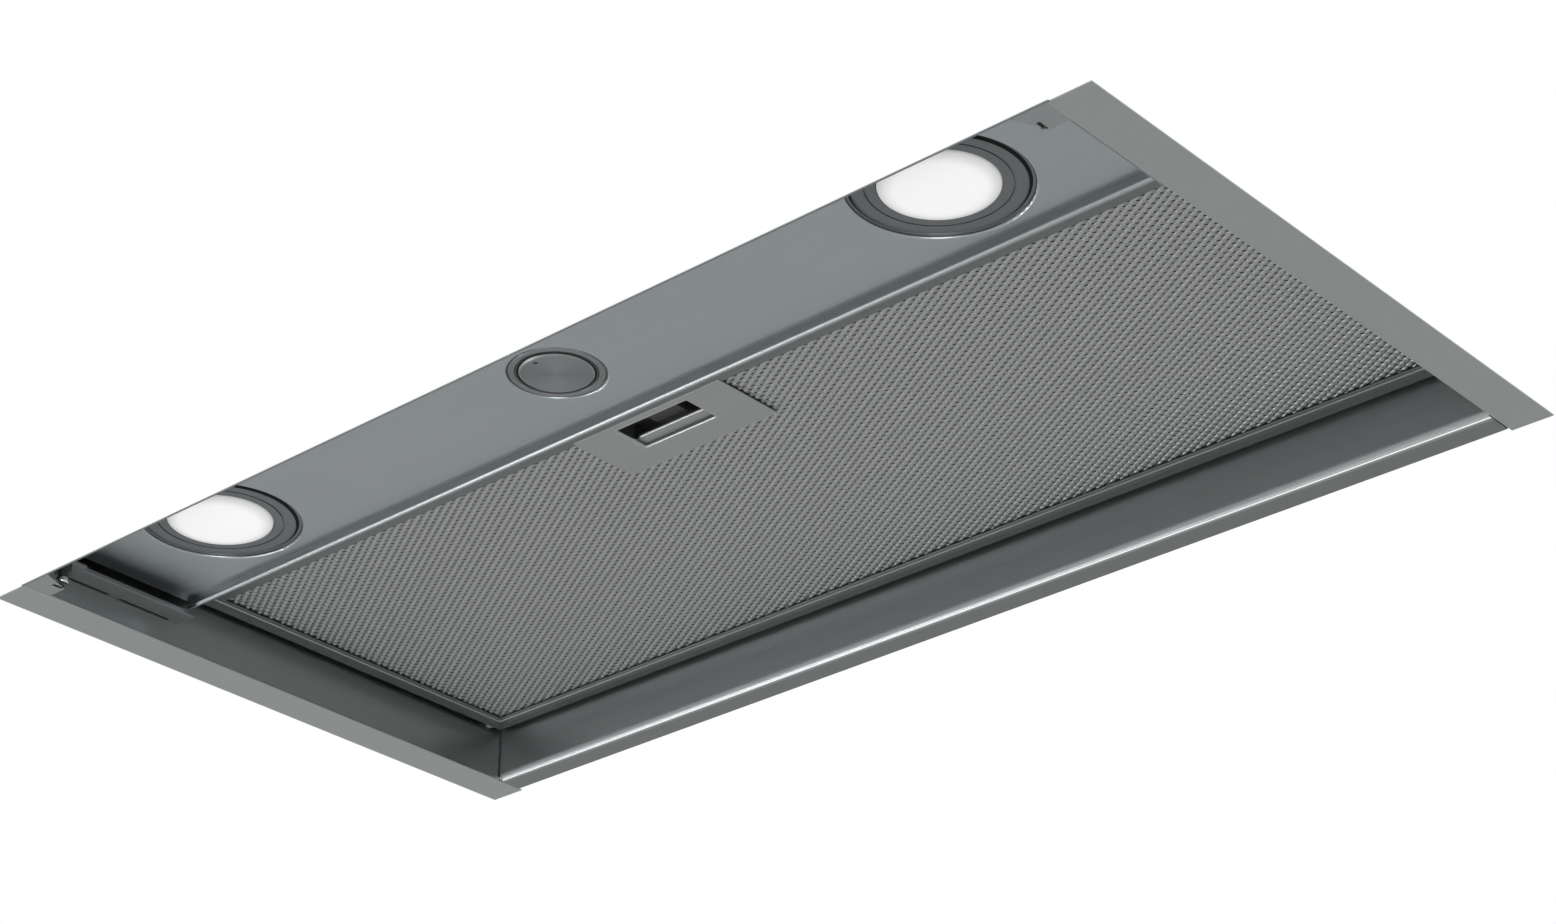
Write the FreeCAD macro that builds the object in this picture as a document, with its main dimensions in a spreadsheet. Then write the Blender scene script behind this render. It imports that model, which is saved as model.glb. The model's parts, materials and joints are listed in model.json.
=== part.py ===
import FreeCAD, Part
import Sketcher
import math
import os
import re

# Integrated range hood for a 60 cm wall cabinet.
# Millimetres. +X right, +Y towards the kitchen wall, +Z up.
# The origin is under the middle of the part, in the plane of the flanges' undersides.

# Driving dimensions, each a plain number.
DIMENSIONS = (
    # Sheet canopy
    ("frame_width", 598),
    ("frame_depth", 304.5),
    ("flange_width", 19),
    ("back_flange_width", 15.9),
    ("back_notch", 2.3),
    ("corner_gap", 0.5),
    ("sheet", 1.2),
    ("front_sheet", 0.8),
    ("canopy_height", 92),
    ("bend_radius", 4),
    ("edge_radius", 1),
    ("cabinet_hole_r", 2.6),
    ("cabinet_hole_spacing", 160),
    ("cabinet_hole_height", 64),
    # Front corners
    ("gusset_rise", 0.3),
    ("gusset_width", 16),
    ("gusset_length", 14),
    ("gusset_taper", 6),
    ("gusset_slot_length", 5),
    ("gusset_slot_width", 1.6),
    ("gusset_slot_gap", 1),
    ("rail_height", 12),
    ("rail_width", 11),
    ("rail_wall_gap", 0.8),
    ("rail_lip", 2.2),
    ("rail_setback", 10.7),
    ("rail_head_length", 11),
    ("rail_head_reach", 3.4),
    ("rail_lug_length", 6),
    ("stud_r", 2.3),
    ("stud_height", 3),
    ("stud_inset", 9.8),
    ("stud_setback", 1.55),
    ("clip_thickness", 0.7),
    ("clip_width", 5),
    ("clip_length", 6.4),
    ("clip_margin", 0.15),
    ("clip_neck_r", 2),
    ("clip_neck_height", 2.3),
    ("clip_collar_r", 3.6),
    # Light and control panel
    ("panel_height", 20.5),
    ("panel_depth", 84.9),
    ("panel_end_gap", 7.6),
    ("lip_drop", 3.5),
    ("lip_edge_radius", 1.1),
    ("keeper_width", 18),
    # Lamps
    ("lamp_inset", 71.9),
    ("lamp_ring_r", 33.5),
    ("lamp_hole_gap", 1.7),
    ("lamp_recess", 0.8),
    ("lamp_flange_width", 4),
    ("lamp_flange_thickness", 2.3),
    ("lens_r", 23),
    ("lens_gap", 0.3),
    ("lens_dome", 1.6),
    ("lens_proud", 0.9),
    ("groove_r", 27.5),
    ("groove_width", 0.8),
    ("groove_depth", 0.6),
    ("lamp_cup_r", 30),
    ("lamp_cup_height", 20),
    ("lamp_cup_wall", 2),
    ("lamp_board_thickness", 1.6),
    # Knob
    ("knob_shift", 5),
    ("knob_r", 15.4),
    ("knob_gap", 1.4),
    ("knob_ring_width", 2.9),
    ("knob_hole_gap", 0.6),
    ("knob_proud", 0.3),
    ("knob_depth", 14),
    ("knob_wall", 1.8),
    ("knob_boss_r", 5.5),
    ("knob_index_r", 0.9),
    ("knob_index_inset", 3.4),
    ("knob_index_depth", 0.6),
    ("knob_ring_recess", 0.3),
    ("knob_tube_wall", 1.8),
    ("knob_flange_width", 4),
    ("knob_press", 2),
    ("knob_pop", 11),
    ("shaft_r", 3),
    ("sleeve_r", 9),
    ("guide_overlap", 2.2),
    ("guide_wall", 2),
    ("guide_margin", 3),
    ("bridge_thickness", 1.5),
    ("switch_width", 16),
    ("switch_height", 10),
    ("board_width", 80),
    ("board_depth", 56),
    ("board_thickness", 1.6),
    ("post_r", 3),
    ("post_inset", 5),
    # Grease filter
    ("filter_height", 24),
    ("filter_thickness", 10),
    ("filter_side_gap", 2.6),
    ("filter_rear_gap", 2.75),
    ("filter_front_gap", 5.8),
    ("rim_width", 12.2),
    ("front_rim_width", 6.2),
    ("rim_bevel_width", 6.7),
    ("rim_bevel_rise", 1.4),
    ("rim_strip", 0.8),
    ("rim_wall", 1.2),
    ("mesh_thickness", 0.8),
    ("mesh_tuck", 2.5),
    ("layer_gap", 0.1),
    ("pack_layer_thickness", 0.4),
    ("pack_layer_count", 5),
    ("pivot_inset", 4.2),
    ("pivot_r", 2.5),
    ("pivot_reach", 6),
    ("pivot_head_r", 4.5),
    ("pivot_head_height", 1.5),
    ("seat_width", 12),
    ("seat_height", 12),
    ("seat_rear_gap", 18),
    # Handle and latch
    ("handle_width", 82),
    ("handle_depth", 36),
    ("handle_thickness", 0.8),
    ("slot_width", 41),
    ("slot_setback", 3.2),
    ("slot_depth", 19.5),
    ("tray_margin", 1.5),
    ("tray_wall", 0.8),
    ("tray_cut_gap", 0.6),
    ("grip_setback", 16.2),
    ("grip_rise", 2),
    ("slider_length", 10),
    ("slider_thickness", 1.5),
    ("slider_side_gap", 0.8),
    ("tongue_width", 16),
    ("tongue_thickness", 2.4),
    ("tongue_gap", 0.6),
    ("tongue_tip_gap", 0.5),
    ("latch_travel", 6),
    ("latch_end_gap", 2.2),
    ("spring_strip", 0.5),
    ("spring_width", 3.5),
    # Blower shell
    ("shell_width", 300),
    ("shell_depth", 240),
    ("shell_height", 190),
    ("shell_foot", 14),
    ("roof_opening_margin", 12),
    # Fan and motor
    ("fan_forward", 91),
    ("fan_drop", 85),
    ("scroll_start_r", 82),
    ("scroll_growth", 9),
    ("scroll_half_width", 56),
    ("scroll_wall", 1.5),
    ("tongue_offset", 22),
    ("inlet_r", 66),
    ("impeller_r", 75),
    ("impeller_half_length", 50),
    ("blade_depth", 13),
    ("blade_thickness", 0.9),
    ("blade_tilt", 25),
    ("blade_count", 30),
    ("disc_thickness", 2),
    ("hub_r", 14),
    ("hub_length", 20),
    ("motor_r", 42),
    ("motor_wall", 3),
    ("motor_back", 78),
    ("motor_front", 14),
    ("motor_cap_thickness", 4),
    ("motor_flange_r", 49),
    ("motor_flange_thickness", 3),
    ("stator_bore_r", 22.4),
    ("stator_length", 40),
    ("rotor_gap", 0.4),
    ("motor_shaft_r", 5),
    ("shaft_overhang", 8),
    ("bearing_r", 11),
    ("bracket_width", 14),
    ("bracket_thickness", 2),
    ("bracket_arm_width", 16),
    ("bracket_arm_count", 3),
    ("capacitor_r", 14),
    ("capacitor_length", 55),
    # Outlet
    ("collar_r", 74.5),
    ("collar_wall", 2),
    ("collar_height", 45),
    ("collar_flange_width", 8.5),
    ("collar_flange_thickness", 2.5),
    ("collar_screw_angle", 45),
    ("rod_r", 2),
    ("rod_height", 16),
    ("flap_edge_gap", 1.5),
    ("flap_thickness", 1.2),
    ("knuckle_r", 4),
    ("knuckle_length", 24),
    ("knuckle_gap", 1),
    ("ledge_width", 3),
    ("ledge_thickness", 2),
    # Electrics on the roof and in the light bay
    ("box_width", 80),
    ("box_depth", 80),
    ("box_height", 36),
    ("box_wall", 2),
    ("box_side_gap", 8),
    ("box_rear_gap", 20),
    ("gland_r", 11),
    ("gland_thread_r", 8),
    ("gland_bore_r", 4.5),
    ("gland_rise", 14),
    ("gland_nut", 5),
    ("driver_width", 90),
    ("driver_depth", 36),
    ("driver_height", 22),
    ("driver_offset", 60),
    # Screws and fits
    ("screw_r", 2),
    ("screw_head_r", 3.3),
    ("screw_head_height", 1.8),
    ("screw_length", 7),
    ("shell_screw_inset", 25),
    ("running_gap", 0.05),
    ("seat_gap", 0.3),
)

# Places worked out from the driving dimensions.
PLACES = (
    ("hem", "2 * sheet"),
    ("front_face", "-(frame_depth + front_sheet) / 2"),
    ("flange_front", "front_face + front_sheet"),
    ("back_edge", "-front_face"),
    ("wall_inner", "frame_width / 2 - flange_width"),
    ("wall_outer", "wall_inner + sheet"),
    ("back_wall_front", "back_edge - back_flange_width"),
    ("back_wall_rear", "back_wall_front + sheet"),
    ("roof_top", "canopy_height + sheet"),
    ("panel_half", "wall_inner - panel_end_gap"),
    ("panel_top", "panel_height + sheet"),
    ("upstand_rear", "flange_front + panel_depth"),
    ("upstand_front", "upstand_rear - sheet"),
    ("lip_front", "upstand_rear - hem"),
    ("lip_bottom", "panel_height - lip_drop"),
    ("lamp_offset", "panel_half - lamp_inset"),
    ("lamp_y", "(flange_front + lip_front) / 2"),
    ("knob_y", "lamp_y + knob_shift"),
    ("rail_inner", "wall_inner - rail_width"),
    ("rail_outer", "wall_inner - rail_wall_gap"),
    ("rail_top", "rail_height + sheet"),
    ("rail_front", "flange_front + rail_setback"),
    ("rail_head_rear", "rail_front + rail_head_length"),
    ("rail_rear", "upstand_rear"),
    ("gusset_low", "gusset_rise"),
    ("gusset_top", "gusset_rise + sheet"),
    ("gusset_rear", "flange_front + gusset_length"),
    ("stud_x", "wall_inner - stud_inset"),
    ("stud_y", "gusset_rear - stud_setback"),
    ("clip_top", "gusset_top + clip_thickness"),
    ("clip_rear", "gusset_rear - clip_margin"),
    ("stud_top", "clip_top + stud_height"),
    ("neck_top", "stud_top + clip_neck_height"),
    ("lamp_face", "panel_height + lamp_recess"),
    ("lamp_hole_r", "lamp_ring_r + lamp_hole_gap"),
    ("lamp_flange_r", "lamp_hole_r + lamp_flange_width"),
    ("lamp_flange_top", "panel_top + lamp_flange_thickness"),
    ("lamp_bore_r", "lens_r + lens_gap"),
    ("lens_low", "lamp_face - lens_proud - lens_dome"),
    ("lens_curve_r", "(lens_r * lens_r + lens_dome * lens_dome) / (2 * lens_dome)"),
    ("lamp_cup_top", "lamp_flange_top + lamp_cup_height"),
    ("knob_face", "panel_height - knob_proud"),
    ("knob_top", "knob_face + knob_depth"),
    ("knob_bore_r", "knob_r + knob_gap"),
    ("knob_ring_r", "knob_bore_r + knob_ring_width"),
    ("knob_hole_r", "knob_ring_r + knob_hole_gap"),
    ("knob_flange_r", "knob_hole_r + knob_flange_width"),
    ("knob_ring_low", "panel_height + knob_ring_recess"),
    ("knob_tube_r", "knob_bore_r + knob_tube_wall"),
    ("guide_low", "knob_top + knob_press + seat_gap"),
    ("sleeve_low", "knob_top + seat_gap"),
    ("sleeve_top", "sleeve_low + knob_pop + knob_press + guide_overlap"),
    ("guide_top", "sleeve_top + guide_margin"),
    ("guide_r", "sleeve_r + running_gap + guide_wall"),
    ("switch_low", "guide_top + seat_gap"),
    ("board_low", "switch_low + switch_height"),
    ("board_top", "board_low + board_thickness"),
    ("shaft_low", "knob_face + knob_wall"),
    ("shaft_top", "board_top + seat_gap"),
    ("filter_half", "wall_inner - filter_side_gap"),
    ("filter_front", "upstand_rear + filter_front_gap"),
    ("filter_rear", "back_wall_front - filter_rear_gap"),
    ("filter_top", "filter_height + filter_thickness"),
    ("window_half", "filter_half - rim_width"),
    ("window_front", "filter_front + front_rim_width"),
    ("window_rear", "filter_rear - rim_width"),
    ("pack_half", "window_half + mesh_tuck"),
    ("pack_front", "window_front - mesh_tuck"),
    ("pack_rear", "window_rear + mesh_tuck"),
    ("mesh_low", "filter_height + rim_strip + layer_gap"),
    ("mesh_lower_top", "mesh_low + mesh_thickness"),
    ("mesh_high", "filter_top - rim_strip - layer_gap"),
    ("mesh_upper_low", "mesh_high - mesh_thickness"),
    ("pack_room", "mesh_upper_low - mesh_lower_top"),
    ("pack_pitch", "(pack_room + pack_layer_thickness) / (pack_layer_count + 1)"),
    ("pivot_y", "filter_rear - pivot_inset"),
    ("pivot_z", "filter_height + filter_thickness / 2"),
    ("pivot_tip", "filter_half - pivot_reach"),
    ("seat_low", "filter_top + seat_gap"),
    ("handle_rear", "window_front + handle_depth"),
    ("slot_front", "window_front + slot_setback"),
    ("slot_rear", "slot_front + slot_depth"),
    ("tray_half", "slot_width / 2 + tray_margin"),
    ("tray_low", "filter_height + handle_thickness"),
    ("tray_top", "filter_top - rim_strip"),
    ("slider_half", "tray_half - tray_wall - slider_side_gap"),
    ("grip_front", "window_front + grip_setback"),
    ("slider_rear", "grip_front + slider_length"),
    ("tray_inner_rear", "slider_rear + latch_travel + latch_end_gap"),
    ("tray_rear", "tray_inner_rear + tray_wall"),
    ("slider_low", "filter_height + grip_rise"),
    ("tongue_top", "tray_top - tray_wall - tongue_gap"),
    ("tongue_low", "tongue_top - tongue_thickness"),
    ("tongue_tip", "upstand_rear + tongue_tip_gap"),
    ("spring_low", "slider_low + slider_thickness + seat_gap"),
    ("shell_half", "shell_width / 2"),
    ("shell_rear", "back_wall_rear - sheet"),
    ("shell_front", "back_wall_rear - shell_depth + sheet"),
    ("shell_top", "roof_top + shell_height"),
    ("shell_ceiling", "shell_top - sheet"),
    ("fan_y", "shell_front + fan_forward"),
    ("fan_z", "shell_ceiling - fan_drop"),
    ("scroll_right", "scroll_start_r + 2 * scroll_growth + scroll_growth / 2"),
    ("collar_y", "fan_y + (tongue_offset + scroll_right) / 2"),
    ("collar_bore_r", "collar_r - collar_wall"),
    ("collar_flange_r", "collar_r + collar_flange_width"),
    ("collar_screw_r", "collar_flange_r - screw_head_r - seat_gap"),
    ("collar_top", "shell_top + collar_height"),
    ("rod_z", "shell_top + rod_height"),
    ("ledge_top", "rod_z - flap_thickness / 2 - seat_gap"),
    ("flap_r", "collar_bore_r - flap_edge_gap"),
    ("scroll_side", "scroll_half_width + scroll_wall"),
    ("bracket_outer", "scroll_side + bracket_thickness"),
    ("bracket_ring_r", "inlet_r + bracket_width"),
    ("motor_flange_end", "bracket_outer + motor_flange_thickness"),
    ("motor_cap_start", "motor_back - motor_cap_thickness"),
    ("stator_r", "motor_r - motor_wall - running_gap"),
    ("stator_middle", "(motor_cap_start + motor_front + motor_cap_thickness) / 2"),
    ("rotor_r", "stator_bore_r - rotor_gap"),
    ("shaft_back", "motor_back + shaft_overhang"),
    ("box_left", "shell_half + shell_foot + box_side_gap"),
    ("box_rear", "back_wall_rear - box_rear_gap"),
    ("box_top", "roof_top + box_height"),
    ("lid_top", "box_top + box_wall"),
    ("gland_x", "box_left + box_width / 2"),
    ("gland_y", "box_rear - box_depth / 2"),
    ("driver_low", "canopy_height - driver_height"),
)

doc = FreeCAD.newDocument("range_hood")
SHEET_OF = {name: "Dims" for name, number in DIMENSIONS}
SHEET_OF.update({name: "Places" for name, formula in PLACES})
NODES = []


def qualified(text):
    """An expression with each size's name led by the sheet that holds it."""
    def lead(found):
        name = found.group(0)
        return f"{SHEET_OF[name]}.{name}" if name in SHEET_OF else name
    return re.sub(r"[a-z]\w*", lead, text)


def fill_sheet(name, rows):
    sheet = doc.addObject("Spreadsheet::Sheet", name)
    for row, (alias, content) in enumerate(rows, 1):
        sheet.set(f"A{row}", f"'{alias}")
        sheet.set(f"B{row}", content)
        sheet.setAlias(f"B{row}", alias)
    doc.recompute()
    return sheet


dims = fill_sheet("Dims", [(name, str(number)) for name, number in DIMENSIONS])
places = fill_sheet("Places", [(name, "=" + qualified(formula)) for name, formula in PLACES])


def size(name):
    """The present value of a driving dimension or a place."""
    sheet = dims if SHEET_OF[name] == "Dims" else places
    return float(sheet.get(name))


def bind(item, **sizes):
    for field, text in sizes.items():
        item.setExpression(field.replace("__", "."), qualified(text))


def mirrored(side, text):
    """The same expression on the right (side 1) or on the left (side -1) of the middle plane."""
    return text if side > 0 else f"-({text})"


def span(side, near, far):
    """A low and a high X for a stretch from near to far of the middle plane, on one side."""
    return (near, far) if side > 0 else (f"-({far})", f"-({near})")


def node(item, label):
    item.Label = label
    NODES.append(item)
    return item


def block(x, y, z):
    """A box between pairs of expressions along X, Y and Z."""
    item = doc.addObject("Part::Box", "block")
    lows_and_highs = (("Length", "x", x), ("Width", "y", y), ("Height", "z", z))
    for field, axis, (low, high) in lows_and_highs:
        item.setExpression(field, qualified(f"({high}) - ({low})"))
        item.setExpression(f"Placement.Base.{axis}", qualified(low))
    return item


def rod(centre, radius, low, high, axis="z"):
    """A cylinder along Z or X, from low to high, about a centre given as the other two coordinates."""
    item = doc.addObject("Part::Cylinder", "rod")
    item.setExpression("Radius", qualified(radius))
    item.setExpression("Height", qualified(f"({high}) - ({low})"))
    across = {"z": ("x", "y"), "x": ("y", "z"), "y": ("x", "z")}[axis]
    if axis == "x":
        item.Placement.Rotation = FreeCAD.Rotation(FreeCAD.Vector(0, 1, 0), 90)
    if axis == "y":
        item.Placement.Rotation = FreeCAD.Rotation(FreeCAD.Vector(1, 0, 0), -90)
    item.setExpression(f"Placement.Base.{axis}", qualified(low))
    for name, text in zip(across, centre):
        item.setExpression(f"Placement.Base.{name}", qualified(text))
    return item


def join(*pieces):
    item = doc.addObject("Part::MultiFuse", "join")
    item.Shapes = list(pieces)
    item.Refine = True
    return item


def cut(base, *tools):
    item = doc.addObject("Part::Cut", "cut")
    item.Base = base
    item.Tool = tools[0] if len(tools) == 1 else join(*tools)
    item.Refine = True
    return item


def common(first, second):
    item = doc.addObject("Part::MultiCommon", "common")
    item.Shapes = [first, second]
    return item


def group(*pieces):
    item = doc.addObject("Part::Compound", "group")
    item.Links = list(pieces)
    return item


def ring(centre, outer, inner, low, high, axis="z"):
    return cut(rod(centre, outer, low, high, axis), rod(centre, inner, low, high, axis))


def solid(shape):
    item = doc.addObject("Part::Feature", "solid")
    item.Shape = shape
    item.Placement = FreeCAD.Placement()
    return item


def origin_plane(body, role):
    return next(plane for plane in body.Origin.OriginFeatures if plane.Role == role)


def outline(body, plane, offset, corners):
    """A closed sketch of straight lines whose corners are pairs of expressions."""
    sketch = body.newObject("Sketcher::SketchObject", "outline")
    sketch.AttachmentSupport = (origin_plane(body, plane), [""])
    sketch.MapMode = "FlatFace"
    sketch.setExpression("AttachmentOffset.Base.z", qualified(offset))
    count = len(corners)
    turn = 2 * math.pi / count
    start = [FreeCAD.Vector(math.cos(turn * i), math.sin(turn * i), 0) for i in range(count)]
    for i in range(count):
        sketch.addGeometry(Part.LineSegment(start[i], start[(i + 1) % count]), False)
    for i in range(count):
        sketch.addConstraint(Sketcher.Constraint("Coincident", i, 2, (i + 1) % count, 1))
    for i, (across, up) in enumerate(corners):
        for kind, text, value in (("DistanceX", across, start[i].x), ("DistanceY", up, start[i].y)):
            index = sketch.addConstraint(Sketcher.Constraint(kind, -1, 1, i, 1, value))
            sketch.setExpression(f"Constraints[{index}]", qualified(text))
    return sketch


def rectangle(x, y):
    return [(x[0], y[0]), (x[1], y[0]), (x[1], y[1]), (x[0], y[1])]


def pad(body, sketch, length):
    feature = body.newObject("PartDesign::Pad", "pad")
    feature.Profile = sketch
    feature.setExpression("Length", qualified(length))
    doc.recompute()
    return feature


def rounded(body, base, radius, chosen):
    """Fillets the edges of the base that the test picks by their middle point and direction."""
    names = []
    for number, edge in enumerate(base.Shape.Edges, 1):
        middle = edge.valueAt((edge.FirstParameter + edge.LastParameter) / 2)
        if chosen(middle, edge):
            names.append(f"Edge{number}")
    feature = body.newObject("PartDesign::Fillet", "rounding")
    feature.Base = (base, names)
    feature.setExpression("Radius", qualified(radius))
    doc.recompute()
    return feature


def near(value, name):
    return abs(value - size(name)) < TOUCH


def straight(edge, axis):
    ends = edge.Vertexes[0].Point - edge.Vertexes[-1].Point
    return edge.Curve.TypeId == "Part::GeomLine" and abs(ends[axis]) > abs(ends.Length) - TOUCH


# Two faces closer than this count as one face when an edge is picked.
TOUCH = 1e-4
X_AXIS = 0
Y_AXIS = 1
SIDES = (("left", -1), ("right", 1))


# Sheet canopy
def side_panel(name, side):
    body = doc.addObject("PartDesign::Body", "side_panel")
    flange = rectangle(span(side, "wall_inner", "frame_width / 2"), ("flange_front", "back_edge"))
    wall = rectangle(span(side, "wall_inner", "wall_outer"), ("flange_front", "back_wall_rear"))
    pad(body, outline(body, "XY_Plane", "0", flange), "sheet")
    folded = pad(body, outline(body, "XY_Plane", "0", wall), "canopy_height")
    inner = side * size("wall_inner")
    rounded(body, folded, "edge_radius",
            lambda middle, edge: abs(middle.x - inner) < TOUCH and abs(middle.z) < TOUCH and straight(edge, Y_AXIS))
    low, high = span(side, "wall_inner - sheet", "wall_outer + sheet")
    holes = [rod((f"{sign} * cabinet_hole_spacing / 2", "cabinet_hole_height"), "cabinet_hole_r", low, high, "x")
             for sign in (-1, 1)]
    pivot = rod(("pivot_y", "pivot_z"), "pivot_r + running_gap", low, high, "x")
    node(cut(body, pivot, *holes), f"{name}_side_panel")


def back_panel():
    body = doc.addObject("PartDesign::Body", "back_sheet")
    profile = outline(body, "YZ_Plane", "corner_gap - wall_inner", [
        ("back_wall_front", "0"),
        ("back_edge - back_notch", "0"),
        ("back_edge - back_notch", "sheet"),
        ("back_wall_rear", "sheet"),
        ("back_wall_rear", "canopy_height"),
        ("back_wall_front", "canopy_height"),
    ])
    strip = pad(body, profile, "2 * (wall_inner - corner_gap)")
    outer = rounded(body, strip, "bend_radius",
                    lambda middle, edge: near(middle.y, "back_wall_front") and abs(middle.z) < TOUCH)
    rounded(body, outer, "bend_radius - sheet",
            lambda middle, edge: near(middle.y, "back_wall_rear") and near(middle.z, "sheet"))
    node(body, "back_panel")


def front_panel():
    sheet = block(("-wall_outer", "wall_outer"), ("front_face", "flange_front"), ("0", "canopy_height"))
    node(sheet, "front_panel")


def shell_screw_places():
    across = "shell_half + shell_foot / 2"
    for side in (-1, 1):
        for along in ("shell_front + shell_screw_inset", "shell_rear - shell_screw_inset"):
            yield mirrored(side, across), along


def collar_screw_places():
    for sign_x in (-1, 1):
        for sign_y in (-1, 1):
            yield (f"{sign_x} * collar_screw_r * cos(collar_screw_angle)",
                   f"collar_y + {sign_y} * collar_screw_r * sin(collar_screw_angle)")


def screw(centre, seat):
    head = rod(centre, "screw_head_r", seat, f"{seat} + screw_head_height")
    shank = rod(centre, "screw_r - running_gap", f"{seat} - screw_length", seat)
    return join(head, shank)


def roof_panel():
    plate = block(("-wall_outer", "wall_outer"), ("front_face", "back_wall_rear"), ("canopy_height", "roof_top"))
    opening = block(
        ("roof_opening_margin - shell_half", "shell_half - roof_opening_margin"),
        ("upstand_rear + roof_opening_margin", "shell_rear - roof_opening_margin"),
        ("canopy_height", "roof_top"),
    )
    holes = [rod(centre, "screw_r", "canopy_height", "roof_top") for centre in shell_screw_places()]
    node(cut(plate, opening, *holes), "roof_panel")


# Front corners: gusset, clip, stud and rail at each end of the light panel
def corner_gusset(name, side):
    body = doc.addObject("PartDesign::Body", "gusset_sheet")
    corners = [
        ("wall_inner", "flange_front"),
        ("wall_inner - gusset_width", "flange_front"),
        ("wall_inner - gusset_width + gusset_taper", "gusset_rear"),
        ("wall_inner", "gusset_rear"),
    ]
    shape = outline(body, "XY_Plane", "gusset_low", [(mirrored(side, x), y) for x, y in corners])
    pad(body, shape, "sheet")
    slot = block(
        span(side, "stud_x - gusset_slot_width / 2", "stud_x + gusset_slot_width / 2"),
        ("gusset_rear - gusset_slot_gap - gusset_slot_length", "gusset_rear - gusset_slot_gap"),
        ("gusset_low", "gusset_top"),
    )
    node(cut(body, slot), f"corner_gusset_{name}")


def panel_rail(name, side):
    """A shelf under the end of the panel, with a lip inside, a wide head and lugs to the wall."""
    height = ("rail_height", "rail_top")
    shelf = block(span(side, "rail_inner", "rail_outer"), ("rail_front", "rail_rear"), height)
    lip = block(span(side, "rail_inner", "rail_inner + sheet"), ("rail_head_rear", "rail_rear"),
                ("rail_height", "rail_height + rail_lip"))
    head = block(span(side, "rail_inner - rail_head_reach", "rail_inner"), ("rail_front", "rail_head_rear"), height)
    lug_starts = ("rail_front", "(rail_front + rail_rear - rail_lug_length) / 2", "rail_rear - rail_lug_length")
    lugs = [block(span(side, "rail_outer", "wall_inner"), (start, f"{start} + rail_lug_length"), height)
            for start in lug_starts]
    node(join(shelf, lip, head, *lugs), f"panel_rail_{name}")


def corner_clips():
    pieces = []
    for name, side in SIDES:
        centre = (mirrored(side, "stud_x"), "stud_y")
        pieces.append(block(span(side, "stud_x - clip_width / 2", "stud_x + clip_width / 2"),
                            ("clip_rear - clip_length", "clip_rear"), ("gusset_top", "clip_top")))
        neck = rod(centre, "clip_neck_r", "stud_top", "neck_top")
        pieces.append(join(neck, rod(centre, "clip_collar_r", "neck_top", "rail_height")))
    node(group(*pieces), "corner_clips")


def rail_studs():
    studs = [rod((mirrored(side, "stud_x"), "stud_y"), "stud_r", "clip_top", "stud_top") for name, side in SIDES]
    node(group(*studs), "rail_studs")


# Light and control panel: one sheet with a drip lip and an upstand behind it
def control_panel():
    body = doc.addObject("PartDesign::Body", "panel_sheet")
    profile = outline(body, "YZ_Plane", "-panel_half", [
        ("flange_front", "panel_height"),
        ("lip_front", "panel_height"),
        ("lip_front", "lip_bottom"),
        ("upstand_rear", "lip_bottom"),
        ("upstand_rear", "canopy_height"),
        ("upstand_front", "canopy_height"),
        ("upstand_front", "panel_top"),
        ("flange_front", "panel_top"),
    ])
    folded = pad(body, profile, "2 * panel_half")
    rounded(body, folded, "lip_edge_radius",
            lambda middle, edge: near(middle.z, "lip_bottom") and straight(edge, X_AXIS))
    holes = body.newObject("Sketcher::SketchObject", "holes")
    holes.AttachmentSupport = (origin_plane(body, "XY_Plane"), [""])
    holes.MapMode = "FlatFace"
    holes.setExpression("AttachmentOffset.Base.z", qualified("panel_top"))
    circles = [("-lamp_offset", "lamp_y", "lamp_hole_r"), ("0", "knob_y", "knob_hole_r"),
               ("lamp_offset", "lamp_y", "lamp_hole_r")]
    for index, (x, y, radius) in enumerate(circles):
        holes.addGeometry(Part.Circle(FreeCAD.Vector(index - 1, 0, 0), FreeCAD.Vector(0, 0, 1), 1), False)
        for kind, text, value in (("DistanceX", x, index - 1), ("DistanceY", y, 0)):
            number = holes.addConstraint(Sketcher.Constraint(kind, -1, 1, index, 3, value))
            holes.setExpression(f"Constraints[{number}]", qualified(text))
        number = holes.addConstraint(Sketcher.Constraint("Radius", index, 1))
        holes.setExpression(f"Constraints[{number}]", qualified(radius))
    pierced = body.newObject("PartDesign::Pocket", "pierced")
    pierced.Profile = holes
    pierced.setExpression("Length", qualified("sheet"))
    doc.recompute()
    rounded(body, pierced, "edge_radius",
            lambda middle, edge: near(middle.z, "panel_height") and edge.Curve.TypeId == "Part::GeomCircle")
    keeper = block(("-keeper_width / 2", "keeper_width / 2"), ("upstand_front", "upstand_rear"),
                   ("tongue_low - tongue_gap", "tongue_top + tongue_gap"))
    node(cut(body, keeper), "control_panel")


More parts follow.
